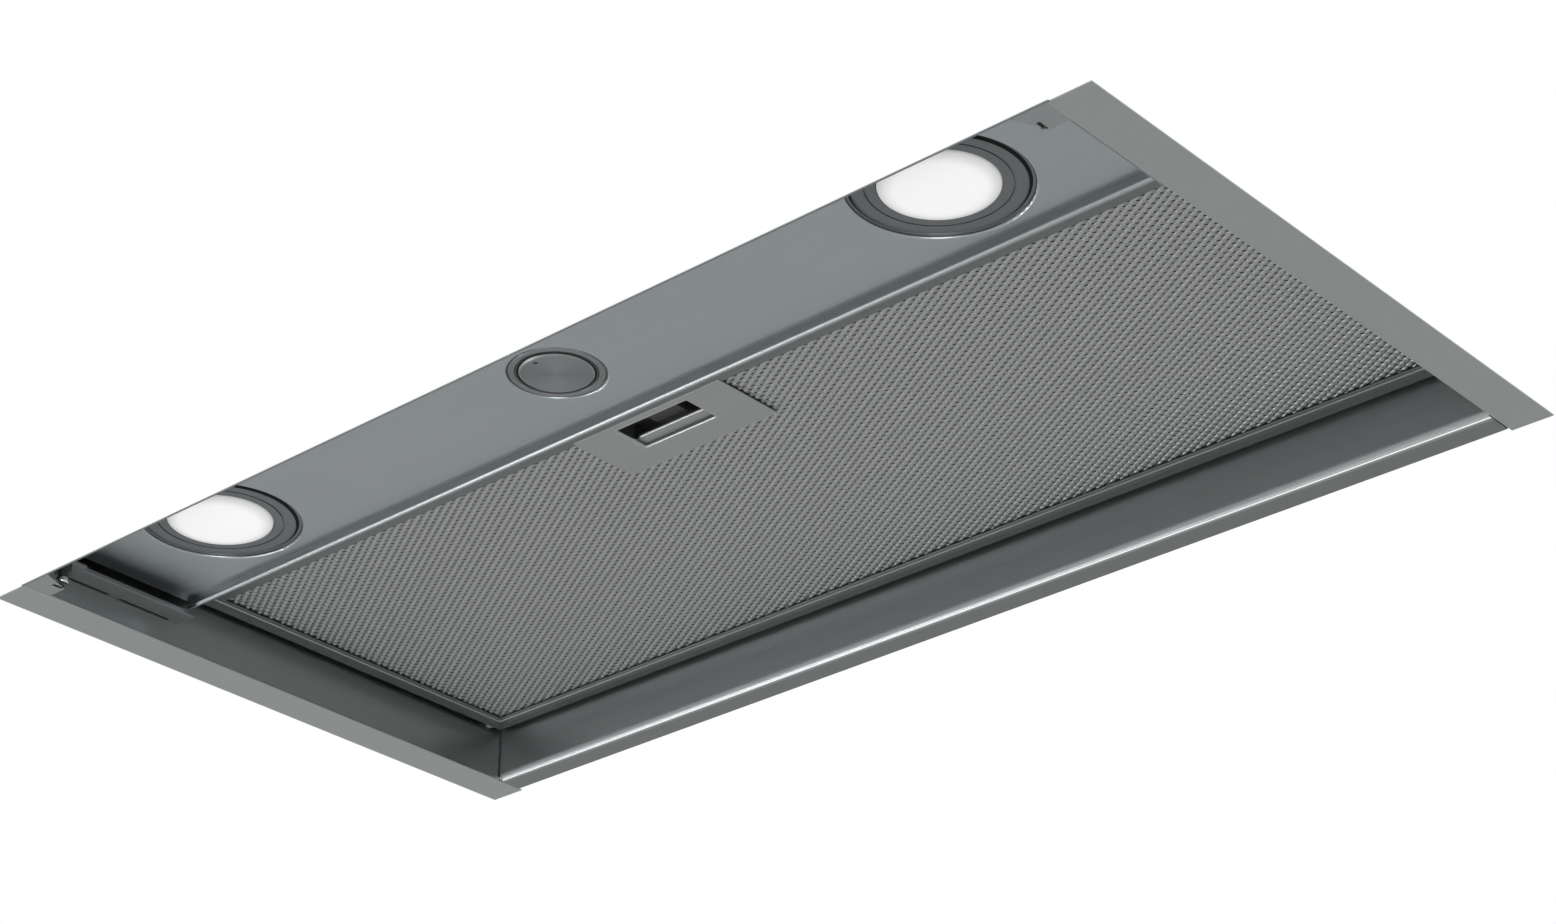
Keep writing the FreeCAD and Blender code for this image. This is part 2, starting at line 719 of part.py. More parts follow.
# Lamps
def lamp(name, side):
    centre = (mirrored(side, "lamp_offset"), "lamp_y")
    face = rod(centre, "lamp_ring_r", "lamp_face", "panel_top")
    flange = rod(centre, "lamp_flange_r", "panel_top", "lamp_flange_top")
    bore = rod(centre, "lamp_bore_r", "lamp_face", "lamp_flange_top")
    groove = ring(centre, "groove_r + groove_width / 2", "groove_r - groove_width / 2",
                  "lamp_face", "lamp_face + groove_depth")
    node(cut(join(face, flange), bore, groove), f"lamp_bezel_{name}")

    ball = doc.addObject("Part::Sphere", "ball")
    bind(ball, Radius="lens_curve_r", Placement__Base__x=centre[0], Placement__Base__y=centre[1],
         Placement__Base__z="lens_low + lens_curve_r")
    node(common(ball, rod(centre, "lens_r", "lens_low", "lamp_flange_top")), f"lamp_lens_{name}")

    cup = rod(centre, "lamp_cup_r", "lamp_flange_top", "lamp_cup_top")
    hollow = rod(centre, "lamp_cup_r - lamp_cup_wall", "lamp_flange_top", "lamp_cup_top - lamp_cup_wall")
    node(cut(cup, hollow), f"lamp_cup_{name}")
    board = rod(centre, "lamp_cup_r - lamp_cup_wall - seat_gap",
                "lamp_cup_top - lamp_cup_wall - lamp_board_thickness", "lamp_cup_top - lamp_cup_wall")
    return board


# Flush knob with its ring, guide, push sleeve, shaft, switch and board
def knob_parts():
    centre = ("0", "knob_y")
    collar = ring(centre, "knob_ring_r", "knob_bore_r", "knob_ring_low", "panel_top")
    flange = ring(centre, "knob_flange_r", "knob_bore_r", "panel_top", "panel_top + bridge_thickness")
    tube = ring(centre, "knob_tube_r", "knob_bore_r", "panel_top", "guide_low + bridge_thickness")
    bridge = ring(centre, "knob_tube_r", "sleeve_r + running_gap", "guide_low", "guide_low + bridge_thickness")
    guide = ring(centre, "guide_r", "sleeve_r + running_gap", "guide_low", "guide_top")
    node(join(collar, flange, tube, bridge, guide), "knob_bezel")

    cap = rod(centre, "knob_r", "knob_face", "knob_top")
    hollow = ring(centre, "knob_r - knob_wall", "knob_boss_r", "knob_face + knob_wall", "knob_top")
    bore = rod(centre, "shaft_r", "shaft_low", "knob_top")
    index = rod(("0", "knob_y - knob_r + knob_index_inset"), "knob_index_r", "knob_face",
                "knob_face + knob_index_depth")
    node(cut(cap, hollow, bore, index), "knob_cap")
    node(rod(centre, "shaft_r - running_gap / 2", "shaft_low", "shaft_top"), "knob_shaft")
    node(ring(centre, "sleeve_r", "shaft_r + running_gap", "sleeve_low", "sleeve_top"), "push_sleeve")

    case = block(("-switch_width / 2", "switch_width / 2"),
                 ("knob_y - switch_width / 2", "knob_y + switch_width / 2"), ("switch_low", "board_low"))
    node(cut(case, rod(centre, "shaft_r + running_gap", "switch_low", "board_low")), "rotary_switch")
    board = block(("-board_width / 2", "board_width / 2"),
                  ("knob_y - board_depth / 2", "knob_y + board_depth / 2"), ("board_low", "board_top"))
    node(cut(board, rod(centre, "shaft_r + seat_gap", "board_low", "board_top")), "control_board")
    posts = []
    for sign_x in (-1, 1):
        for sign_y in (-1, 1):
            place = (f"{sign_x} * (board_width / 2 - post_inset)",
                     f"knob_y + {sign_y} * (board_depth / 2 - post_inset)")
            posts.append(rod(place, "post_r", "board_top", "canopy_height"))
    node(group(*posts), "board_posts")


# Grease filter: channel frame, mesh layers, handle plate, tray, latch and pivots
def mesh_layer(low, high):
    """A layer that is tucked into the channel all round and cut away for the handle's tray."""
    plate = block(("-pack_half", "pack_half"), ("pack_front", "pack_rear"), (low, high))
    tray = block(("-tray_half - tray_cut_gap", "tray_half + tray_cut_gap"),
                 ("pack_front", "tray_rear + tray_cut_gap"), (low, high))
    return cut(plate, tray)


def rim_bevels():
    """Wedges that slope the underside of the frame up to its left, right and rear edges."""
    rise = "filter_height + rim_bevel_rise"
    for name, side in SIDES:
        body = doc.addObject("PartDesign::Body", "side_bevel")
        corners = [("filter_half - rim_bevel_width", "filter_height"), ("filter_half", "filter_height"),
                   ("filter_half", rise)]
        wedge = outline(body, "XZ_Plane", "-filter_rear", [(mirrored(side, x), z) for x, z in corners])
        pad(body, wedge, "filter_rear - filter_front")
        yield body
    body = doc.addObject("PartDesign::Body", "rear_bevel")
    corners = [("filter_rear - rim_bevel_width", "filter_height"), ("filter_rear", "filter_height"),
               ("filter_rear", rise)]
    pad(body, outline(body, "YZ_Plane", "-filter_half", corners), "2 * filter_half")
    yield body


def filter_parts():
    outer = block(("-filter_half", "filter_half"), ("filter_front", "filter_rear"), ("filter_height", "filter_top"))
    window = block(("-window_half", "window_half"), ("window_front", "window_rear"), ("filter_height", "filter_top"))
    channel = block(("rim_bevel_width - filter_half", "filter_half - rim_bevel_width"),
                    ("filter_front + rim_wall", "filter_rear - rim_bevel_width"),
                    ("filter_height + rim_strip", "filter_top - rim_strip"))
    outer_channel = block(("rim_wall - filter_half", "filter_half - rim_wall"),
                          ("filter_front + rim_wall", "filter_rear - rim_wall"),
                          ("filter_height + rim_bevel_rise + rim_strip", "filter_top - rim_strip"))
    pivots = rod(("pivot_y", "pivot_z"), "pivot_r + running_gap", "-filter_half", "filter_half", "x")
    mouth = block(("-tongue_width / 2 - tongue_gap", "tongue_width / 2 + tongue_gap"),
                  ("filter_front", "filter_front + rim_wall"),
                  ("tongue_low - tongue_gap", "tongue_top + tongue_gap"))
    node(cut(outer, window, channel, outer_channel, pivots, mouth, *rim_bevels()), "filter_frame")

    node(mesh_layer("mesh_low", "mesh_lower_top"), "filter_mesh_lower")
    node(mesh_layer("mesh_upper_low", "mesh_high"), "filter_mesh_upper")
    pack = []
    for number in range(1, int(size("pack_layer_count")) + 1):
        high = f"mesh_lower_top + {number} * pack_pitch"
        pack.append(mesh_layer(f"{high} - pack_layer_thickness", high))
    node(group(*pack), "filter_pack")

    plate = block(("-handle_width / 2", "handle_width / 2"), ("window_front", "handle_rear"),
                  ("filter_height", "tray_low"))
    slot = block(("-slot_width / 2", "slot_width / 2"), ("slot_front", "slot_rear"), ("filter_height", "tray_low"))
    node(cut(plate, slot), "handle_plate")

    shell = block(("-tray_half", "tray_half"), ("window_front", "tray_rear"), ("tray_low", "tray_top"))
    cavity = block(("tray_wall - tray_half", "tray_half - tray_wall"), ("window_front", "tray_inner_rear"),
                   ("tray_low + tray_wall", "tray_top - tray_wall"))
    mouth = block(("tray_wall - tray_half", "tray_half - tray_wall"), ("slot_front", "slot_rear"),
                  ("tray_low", "tray_top - tray_wall"))
    node(cut(shell, cavity, mouth), "handle_tray")

    grip = block(("-slider_half", "slider_half"), ("grip_front", "slider_rear"),
                 ("slider_low", "slider_low + slider_thickness"))
    web = block(("-slider_half", "slider_half"), ("grip_front", "grip_front + slider_thickness"),
                ("slider_low", "tongue_top"))
    tongue = block(("-tongue_width / 2", "tongue_width / 2"), ("tongue_tip", "grip_front"),
                   ("tongue_low", "tongue_top"))
    node(join(grip, web, tongue), "latch_slider")
    node(latch_spring(), "latch_spring")

    pins = []
    for name, side in SIDES:
        low, high = span(side, "pivot_tip", "wall_outer")
        shank = rod(("pivot_y", "pivot_z"), "pivot_r", low, high, "x")
        low, high = span(side, "wall_outer", "wall_outer + pivot_head_height")
        pins.append(join(shank, rod(("pivot_y", "pivot_z"), "pivot_head_r", low, high, "x")))
    node(group(*pins), "filter_pivot_pins")

    seats = []
    for name, side in SIDES:
        along = ("window_front", "filter_rear - seat_rear_gap")
        shelf = block(span(side, "wall_inner - seat_width", "wall_inner"), along, ("seat_low", "seat_low + sheet"))
        leg = block(span(side, "wall_inner - sheet", "wall_inner"), along, ("seat_low", "seat_low + seat_height"))
        seats.append(join(shelf, leg))
    node(group(*seats), "filter_seats")


def latch_spring():
    """A bowed leaf between the slider's web and the back wall of its tray."""
    crown_y = size("tray_inner_rear") - size("seat_gap")
    end_y = size("grip_front") + size("slider_thickness") + size("seat_gap")
    half = size("slider_half")
    low = size("spring_low")
    strip = size("spring_strip")
    left = FreeCAD.Vector(-half, end_y, low)
    right = FreeCAD.Vector(half, end_y, low)
    crown = FreeCAD.Vector(0, crown_y, low)
    inner_left = left + FreeCAD.Vector(strip, 0, 0)
    inner_right = right - FreeCAD.Vector(strip, 0, 0)
    inner_crown = crown - FreeCAD.Vector(0, strip, 0)
    edges = [
        Part.Arc(left, crown, right).toShape(),
        Part.LineSegment(right, inner_right).toShape(),
        Part.Arc(inner_right, inner_crown, inner_left).toShape(),
        Part.LineSegment(inner_left, left).toShape(),
    ]
    return solid(Part.Face(Part.Wire(edges)).extrude(FreeCAD.Vector(0, 0, size("spring_width"))))


# Blower shell on the roof
def blower_shell():
    outside = block(("-shell_half", "shell_half"), ("shell_front", "shell_rear"), ("roof_top", "shell_top"))
    feet = block(("-shell_half - shell_foot", "shell_half + shell_foot"), ("shell_front", "shell_rear"),
                 ("roof_top", "roof_top + sheet"))
    inside = block(("sheet - shell_half", "shell_half - sheet"), ("shell_front", "shell_rear"),
                   ("roof_top", "shell_ceiling"))
    outlet = block(("-scroll_half_width", "scroll_half_width"), ("fan_y + tongue_offset", "fan_y + scroll_right"),
                   ("shell_ceiling", "shell_top"))
    feet_holes = [rod(centre, "screw_r", "roof_top", "roof_top + sheet") for centre in shell_screw_places()]
    top_holes = [rod(centre, "screw_r", "shell_ceiling", "shell_top") for centre in collar_screw_places()]
    node(cut(join(outside, feet), inside, outlet, *feet_holes, *top_holes), "blower_shell")
    ends = (("blower_front_plate", ("shell_front - sheet", "shell_front")),
            ("blower_back_plate", ("shell_rear", "shell_rear + sheet")))
    for label, depth in ends:
        node(block(("-shell_half", "shell_half"), depth, ("roof_top", "shell_top")), label)
    node(group(*[screw(centre, "roof_top + sheet") for centre in shell_screw_places()]), "shell_screws")


# Scroll: arcs of growing radius about the corners of a small square
def scroll_outline(spread):
    """The scroll's outline in the fan's plane, offset outwards by spread, as a closed face at X = 0."""
    growth = size("scroll_growth")
    half = growth / 2
    radius = size("scroll_start_r") + spread
    top = radius - half
    outlet = size("shell_ceiling") - size("fan_z")
    inner_wall = size("tongue_offset") - spread
    right = size("scroll_right") + spread

    def at(u, w):
        return FreeCAD.Vector(0, size("fan_y") + u, size("fan_z") + w)

    def quarter(centre_u, centre_w, reach, start):
        points = []
        for step in range(3):
            angle = math.radians(start + 45 * step)
            points.append(at(centre_u + reach * math.cos(angle), centre_w + reach * math.sin(angle)))
        return Part.Arc(*points).toShape()

    edges = [
        quarter(-half, -half, radius, 90),
        quarter(half, -half, radius + growth, 180),
        quarter(half, half, radius + 2 * growth, 270),
    ]
    corners = [at(right, half), at(right, outlet), at(inner_wall, outlet), at(inner_wall, top), at(-half, top)]
    edges += [Part.LineSegment(corners[i], corners[i + 1]).toShape() for i in range(len(corners) - 1)]
    return Part.Face(Part.Wire(edges))


def along_x(radius, low, high):
    base = FreeCAD.Vector(low, size("fan_y"), size("fan_z"))
    return Part.makeCylinder(radius, high - low, base, FreeCAD.Vector(1, 0, 0))


def scroll_half(name, side):
    hollow = side * size("scroll_half_width")
    outside = side * size("scroll_side")
    case = scroll_outline(size("scroll_wall")).extrude(FreeCAD.Vector(outside, 0, 0))
    inside = scroll_outline(0).extrude(FreeCAD.Vector(hollow, 0, 0))
    inlet = along_x(size("inlet_r"), min(hollow, outside), max(hollow, outside))
    node(solid(case.cut(inside).cut(inlet)), f"scroll_{name}")


def impeller():
    reach = size("impeller_half_length")
    outer = size("impeller_r")
    inner = outer - size("blade_depth")
    plate = size("disc_thickness")
    disc = along_x(outer, -plate / 2, plate / 2)
    hub = along_x(size("hub_r"), -plate / 2, size("hub_length") - plate / 2)
    pieces = [hub]
    for side in (-1, 1):
        low, high = sorted((side * reach, side * (reach - plate)))
        pieces.append(along_x(outer, low, high).cut(along_x(inner, low, high)))
    middle = FreeCAD.Vector(0, size("fan_y"), size("fan_z"))
    depth = size("blade_depth") - size("blade_thickness")
    count = int(size("blade_count"))
    for number in range(count):
        blade = Part.makeBox(2 * reach, depth, size("blade_thickness"))
        blade.rotate(FreeCAD.Vector(0, depth / 2, 0), FreeCAD.Vector(1, 0, 0), size("blade_tilt"))
        blade.translate(FreeCAD.Vector(-reach, inner + (size("blade_depth") - depth) / 2, 0))
        blade.rotate(FreeCAD.Vector(0, 0, 0), FreeCAD.Vector(1, 0, 0), 360 / count * number)
        blade.translate(middle)
        pieces.append(blade)
    bore = along_x(size("motor_shaft_r"), -plate / 2, size("hub_length"))
    node(solid(disc.multiFuse(pieces).cut(bore)), "impeller")


# Motor inside the left half of the impeller, on a bracket across the left inlet
def motor_parts():
    centre = ("fan_y", "fan_z")
    case = rod(centre, "motor_r", "-motor_cap_start", "-motor_front", "x")
    flange = rod(centre, "motor_flange_r", "-motor_flange_end", "-bracket_outer", "x")
    hollow = rod(centre, "motor_r - motor_wall", "-motor_cap_start", "-motor_front - motor_cap_thickness", "x")
    seat = rod(centre, "bearing_r + running_gap", "-motor_front - motor_cap_thickness", "-motor_front", "x")
    node(cut(join(case, flange), hollow, seat), "motor_case")
    node(ring(centre, "motor_r", "bearing_r + running_gap", "-motor_back", "-motor_cap_start", "x"), "motor_end_cap")
    middle = "stator_middle"
    node(ring(centre, "stator_r", "stator_bore_r", f"-{middle} - stator_length / 2", f"-{middle} + stator_length / 2",
              "x"), "motor_stator")
    node(ring(centre, "rotor_r", "motor_shaft_r", f"-{middle} - stator_length / 2", f"-{middle} + stator_length / 2",
              "x"), "motor_rotor")
    node(rod(centre, "motor_shaft_r - running_gap / 2", "-shaft_back", "hub_length - disc_thickness / 2", "x"),
         "motor_shaft")
    bearings = [ring(centre, "bearing_r", "motor_shaft_r + running_gap", low, high, "x")
                for low, high in (("-motor_back", "-motor_cap_start"),
                                  ("-motor_front - motor_cap_thickness", "-motor_front"))]
    node(group(*bearings), "motor_bearings")
    node(motor_bracket(), "motor_bracket")
    saddle = rod(("shell_half - sheet - capacitor_r - seat_gap", "fan_z"), "capacitor_r",
                 "fan_y - capacitor_length / 2", "fan_y + capacitor_length / 2", "y")
    node(saddle, "run_capacitor")


def motor_bracket():
    low = -size("bracket_outer")
    high = -size("scroll_side")
    clear = size("motor_r") + size("seat_gap")
    outer = along_x(size("bracket_ring_r"), low, high).cut(along_x(size("inlet_r"), low, high))
    inner = along_x(size("motor_flange_r"), low, high)
    width = size("bracket_arm_width")
    reach = (size("inlet_r") + size("bracket_ring_r")) / 2
    middle = FreeCAD.Vector(0, size("fan_y"), size("fan_z"))
    pieces = [inner]
    count = int(size("bracket_arm_count"))
    for number in range(count):
        arm = Part.makeBox(high - low, reach, width, FreeCAD.Vector(low, 0, -width / 2))
        arm.rotate(FreeCAD.Vector(0, 0, 0), FreeCAD.Vector(1, 0, 0), 360 / count * number + 90)
        arm.translate(middle)
        pieces.append(arm)
    return solid(outer.multiFuse(pieces).cut(along_x(clear, low, high)).removeSplitter())


# Outlet collar with a rod and two half-round flaps
def knuckle_spans(side):
    """Stretches of the rod, along X, that the knuckles of the front (-1) or back (1) flap hold."""
    pitch = "(knuckle_length + knuckle_gap)"
    for place in (-2, 0):
        start = f"({place} + {(side + 1) // 2}) * {pitch} + knuckle_gap / 2"
        yield start, f"{start} + knuckle_length"


def damper_flap(name, side):
    centre = ("0", "collar_y")
    axis = ("collar_y", "rod_z")
    disc = rod(centre, "flap_r", "rod_z - flap_thickness / 2", "rod_z + flap_thickness / 2")
    along = ("collar_y + rod_r + knuckle_gap", "collar_y + flap_r")
    if side < 0:
        along = ("collar_y - flap_r", "collar_y - rod_r - knuckle_gap")
    half = common(disc, block(("-flap_r", "flap_r"), along, ("rod_z - flap_thickness", "rod_z + flap_thickness")))
    knuckles = [rod(axis, "knuckle_r", low, high, "x") for low, high in knuckle_spans(side)]
    relief = [rod(axis, "knuckle_r + knuckle_gap / 2", f"{low} - knuckle_gap / 2", f"{high} + knuckle_gap / 2", "x")
              for low, high in knuckle_spans(-side)]
    bore = rod(axis, "rod_r + running_gap", "-flap_r", "flap_r", "x")
    node(cut(join(cut(half, *relief), *knuckles), bore), f"damper_flap_{name}")


def outlet_parts():
    centre = ("0", "collar_y")
    axis = ("collar_y", "rod_z")
    tube = rod(centre, "collar_r", "shell_top", "collar_top")
    flange = rod(centre, "collar_flange_r", "shell_top", "shell_top + collar_flange_thickness")
    bore = rod(centre, "collar_bore_r", "shell_top", "collar_top")
    ledge = ring(centre, "collar_bore_r", "collar_bore_r - ledge_width", "ledge_top - ledge_thickness", "ledge_top")
    eyes = rod(axis, "rod_r + running_gap", "-collar_r", "collar_r", "x")
    holes = [rod(place, "screw_r", "shell_top", "shell_top + collar_flange_thickness")
             for place in collar_screw_places()]
    node(cut(join(cut(join(tube, flange), bore), ledge), eyes, *holes), "outlet_collar")
    node(rod(axis, "rod_r", "seat_gap - collar_r", "collar_r - seat_gap", "x"), "damper_rod")
    damper_flap("front", -1)
    damper_flap("back", 1)
    screws = [screw(place, "shell_top + collar_flange_thickness") for place in collar_screw_places()]
    node(group(*screws), "collar_screws")


# Junction box with a cable gland, and the lamp driver in the light bay
def electrics():
    outside = (("box_left", "box_left + box_width"), ("box_rear - box_depth", "box_rear"), ("roof_top", "box_top"))
    inside = (("box_left + box_wall", "box_left + box_width - box_wall"),
              ("box_rear - box_depth + box_wall", "box_rear - box_wall"), ("roof_top + box_wall", "box_top"))
    node(cut(block(*outside), block(*inside)), "junction_box")
    centre = ("gland_x", "gland_y")
    lid = block(outside[0], outside[1], ("box_top", "lid_top"))
    node(cut(lid, rod(centre, "gland_thread_r + running_gap", "box_top", "lid_top")), "junction_lid")
    thread = rod(centre, "gland_thread_r", "box_top - gland_nut", "lid_top")
    nut = rod(centre, "gland_r", "box_top - gland_nut", "box_top")
    dome = rod(centre, "gland_r", "lid_top", "lid_top + gland_rise")
    passage = rod(centre, "gland_bore_r", "box_top - gland_nut", "lid_top + gland_rise")
    node(cut(join(thread, nut, dome), passage), "cable_gland")
    node(block(("driver_offset", "driver_offset + driver_width"),
               ("lamp_y - driver_depth / 2", "lamp_y + driver_depth / 2"), ("driver_low", "canopy_height")),
         "lamp_driver")


for side_name, side_sign in SIDES:
    side_panel(side_name, side_sign)
    corner_gusset(side_name, side_sign)
    panel_rail(side_name, side_sign)
    scroll_half(side_name, side_sign)
back_panel()
front_panel()
roof_panel()
node(group(*[lamp(side_name, side_sign) for side_name, side_sign in SIDES]), "lamp_boards")
rail_studs()
corner_clips()
control_panel()
knob_parts()
filter_parts()
blower_shell()
impeller()
motor_parts()
outlet_parts()
electrics()
doc.recompute()

for item in doc.Objects:
    if "Invalid" in item.State or "Error" in item.State:
        raise RuntimeError(f"{item.Name} ({item.Label}) failed: {item.State}")
for item in NODES:
    if item.Shape.isNull() or not item.Shape.isValid():
        raise RuntimeError(f"{item.Label} has no valid shape")

os.makedirs("parts", exist_ok=True)
for item in NODES:
    item.Shape.exportStep(os.path.join("parts", f"{item.Label}.step"))
print(len(NODES), "sub-parts written")
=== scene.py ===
import json
import math

import bmesh
import bpy
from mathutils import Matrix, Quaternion, Vector


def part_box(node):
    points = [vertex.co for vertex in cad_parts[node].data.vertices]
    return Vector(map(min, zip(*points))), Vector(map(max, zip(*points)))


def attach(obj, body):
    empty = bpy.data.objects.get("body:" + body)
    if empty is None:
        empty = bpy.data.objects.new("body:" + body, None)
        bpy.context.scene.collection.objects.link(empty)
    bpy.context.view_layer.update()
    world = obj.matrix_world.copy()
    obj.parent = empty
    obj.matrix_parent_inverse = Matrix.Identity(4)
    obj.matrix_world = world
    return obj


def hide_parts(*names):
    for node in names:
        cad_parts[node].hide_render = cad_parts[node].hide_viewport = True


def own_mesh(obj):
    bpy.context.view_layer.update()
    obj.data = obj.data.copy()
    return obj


# Integrated range hood, seen from below and from the front right. Metres, in the frame of the part:
# +X right, +Y towards the kitchen wall, +Z up, the flanges' undersides at Z = 0.

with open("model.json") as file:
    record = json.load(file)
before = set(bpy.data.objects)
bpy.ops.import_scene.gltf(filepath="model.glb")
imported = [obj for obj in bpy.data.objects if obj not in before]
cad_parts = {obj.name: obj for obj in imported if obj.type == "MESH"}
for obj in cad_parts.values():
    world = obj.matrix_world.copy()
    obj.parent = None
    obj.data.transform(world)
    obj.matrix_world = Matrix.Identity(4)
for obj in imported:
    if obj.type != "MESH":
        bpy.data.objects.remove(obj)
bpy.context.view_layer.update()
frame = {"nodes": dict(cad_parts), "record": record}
nodes = frame["nodes"]
scene = bpy.context.scene
scene.view_settings.view_transform = "Standard"

MM = 0.001


def centre_of(node):
    low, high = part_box(node)
    return tuple((least + most) / 2 for least, most in zip(low, high))


def half_width(node):
    low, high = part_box(node)
    return (high[0] - low[0]) / 2


# Finishes
NOISE_ROUGHNESS = 0.6


class Wire:
    """One shader socket. Arithmetic on it adds Math nodes to the finish it belongs to."""

    def __init__(self, finish, socket):
        self.finish = finish
        self.socket = socket

    def math(self, operation, first, second=0.0):
        return self.finish.add("ShaderNodeMath", {"operation": operation}, {0: first, 1: second})

    def __add__(self, other):
        return self.math("ADD", self, other)

    def __radd__(self, other):
        return self.math("ADD", other, self)

    def __sub__(self, other):
        return self.math("SUBTRACT", self, other)

    def __rsub__(self, other):
        return self.math("SUBTRACT", other, self)

    def __mul__(self, other):
        return self.math("MULTIPLY", self, other)

    def __rmul__(self, other):
        return self.math("MULTIPLY", other, self)

    def cosine(self):
        return self.math("COSINE", self)


class Finish:
    """A node tree, of a material or of the world, that is filled by name."""

    def __init__(self, owner):
        self.owner = owner
        owner.use_nodes = True
        self.tree = owner.node_tree
        self.surface = self.tree.nodes.get("Principled BSDF")

    def plug(self, socket, value):
        if isinstance(value, Wire):
            self.tree.links.new(value.socket, socket)
        elif socket.type == "RGBA" and len(value) == 3:
            socket.default_value = (*value, 1.0)
        else:
            socket.default_value = value

    def add(self, kind, settings=None, sockets=None, output=0):
        node = self.tree.nodes.new(kind)
        for field, value in (settings or {}).items():
            setattr(node, field, value)
        for key, value in (sockets or {}).items():
            self.plug(node.inputs[key], value)
        return Wire(self, node.outputs[output])

    def look(self, **sockets):
        for name, value in sockets.items():
            self.plug(self.surface.inputs[name.replace("_", " ")], value)

    def show(self, shader):
        """Shows a shader in place of the material's own."""
        self.plug(self.tree.nodes["Material Output"].inputs["Surface"], shader)

    def place(self):
        return self.add("ShaderNodeTexCoord", output="Object")

    def vector(self, operation, first, second=(0.0, 0.0, 0.0), output="Vector"):
        return self.add("ShaderNodeVectorMath", {"operation": operation}, {0: first, 1: second}, output)

    def length(self, vector):
        return self.vector("LENGTH", vector, output="Value")

    def along(self, direction):
        """The distance from the origin along a direction, times the direction's length."""
        return self.vector("DOT_PRODUCT", self.place(), direction, "Value")

    def mix(self, factor, first, second):
        """A colour between two, by a factor from 0 to 1."""
        return self.add("ShaderNodeMix", {"data_type": "RGBA"}, {0: factor, 6: first, 7: second}, output=2)

    def tones(self, factor, colour, share):
        """A colour that goes from darker to lighter by a share of itself, by a factor from 0 to 1."""
        return self.mix(factor, shade(colour, 1 - share), shade(colour, 1 + share))

    def rise(self, value, begin, end):
        """0 before begin, 1 after end, and a smooth rise between them."""
        return self.add("ShaderNodeMapRange", {"interpolation_type": "SMOOTHSTEP"},
                        {"Value": value, "From Min": begin, "From Max": end})

    def noise(self, stretch, detail=3.0):
        """Noise over the piece, with that many features to the metre along X, Y and Z."""
        spread = self.vector("MULTIPLY", self.place(), stretch)
        return self.add("ShaderNodeTexNoise", {}, {"Vector": spread, "Scale": 1.0, "Detail": detail,
                                                   "Roughness": NOISE_ROUGHNESS})

    def bump(self, height, distance, strength):
        return self.add("ShaderNodeBump", {}, {"Height": height, "Distance": distance, "Strength": strength})


def material(name, **sockets):
    finish = Finish(bpy.data.materials.new(name))
    finish.look(**sockets)
    return finish


def shade(colour, factor):
    return tuple(channel * factor for channel in colour)


def even(count):
    """The same number of features along X, Y and Z."""
    return (count, count, count)


ALONG_X = (14.0, 2600.0, 2600.0)
ALONG_Y = (2600.0, 14.0, 2600.0)
CLOUDS = even(9.0)
BRUSH_DEPTH = 0.02 * MM


def brushed_steel(name, stretch, colour, roughness):
    """Sheet steel with brush lines: fine streaks in tone, in gloss and in the surface, and faint clouding."""
    finish = material(name, Metallic=1.0)
    streaks = finish.noise(stretch)
    clouds = finish.noise(CLOUDS, 2.0)
    tone = 0.75 * streaks + 0.25 * clouds
    finish.look(
        Base_Color=finish.tones(tone, colour, 0.12),
        Roughness=roughness - 0.05 + 0.1 * streaks,
        Normal=finish.bump(streaks, BRUSH_DEPTH, 0.4),
    )
    return finish


BEND_FRONT = 138.5 * MM
BEND_REAR = 141 * MM
# Grain of the darker strip behind the back panel's bend, which is painted shade
SHADED_STRIP_GRAIN = (30.0, 1800.0, 1800.0)


def rolled_back(name, colour, roughness):
    """The back panel: a brushed wall, and behind the bend a strip painted at about half the wall's tone, with
    a coarse grain, as painted shade.
    """
    finish = brushed_steel(name, ALONG_X, colour, roughness)
    strip = finish.rise(finish.along((0.0, 1.0, 0.0)), BEND_FRONT, BEND_REAR)
    # Painted shade: behind the bend the strip takes about half the wall's tone
    painted_shade_strip = finish.mix(finish.noise(SHADED_STRIP_GRAIN), shade(colour, 0.46), shade(colour, 0.57))
    wall = finish.tones(finish.noise(ALONG_X), colour, 0.1)
    finish.look(Base_Color=finish.mix(strip, wall, painted_shade_strip))
    return finish


SHADE_BELOW_FACING = 0.6


def sheet_shaded_below(name, colour, roughness):
    """Brushed sheet whose faces that look downward are painted at half its tone, as painted shade."""
    finish = brushed_steel(name, ALONG_X, colour, roughness)
    facing = finish.add("ShaderNodeNewGeometry", output="True Normal")
    downward = finish.vector("DOT_PRODUCT", facing, (0.0, 0.0, -1.0), "Value")
    # Painted shade: faces that look downward take half the sheet's tone
    painted_shade_below = downward.math("GREATER_THAN", downward, SHADE_BELOW_FACING)
    face = finish.tones(finish.noise(ALONG_X), colour, 0.1)
    finish.look(Base_Color=finish.mix(painted_shade_below, face, shade(colour, 0.5)))
    return finish


SPANGLES_PER_METRE = 150.0
ZINC_GRAIN = (40.0, 900.0, 900.0)
ZINC_DEPTH = 0.03 * MM


def galvanised(name, colour):
    """Zinc coated sheet with a faint spangle and a rolled grain."""
    finish = material(name, Metallic=1.0)
    cells = {"Vector": finish.place(), "Scale": SPANGLES_PER_METRE}
    spangle = finish.add("ShaderNodeTexVoronoi", {}, cells, output="Color")
    grey = finish.add("ShaderNodeRGBToBW", {}, {0: spangle})
    grain = finish.noise(ZINC_GRAIN)
    finish.look(
        Base_Color=finish.tones(0.7 * grey + 0.3 * grain, colour, 0.14),
        Roughness=0.36 + 0.16 * grey,
        Normal=finish.bump(grain, ZINC_DEPTH, 0.3),
    )
    return finish


PORES = even(900.0)
PORE_DEPTH = 0.04 * MM


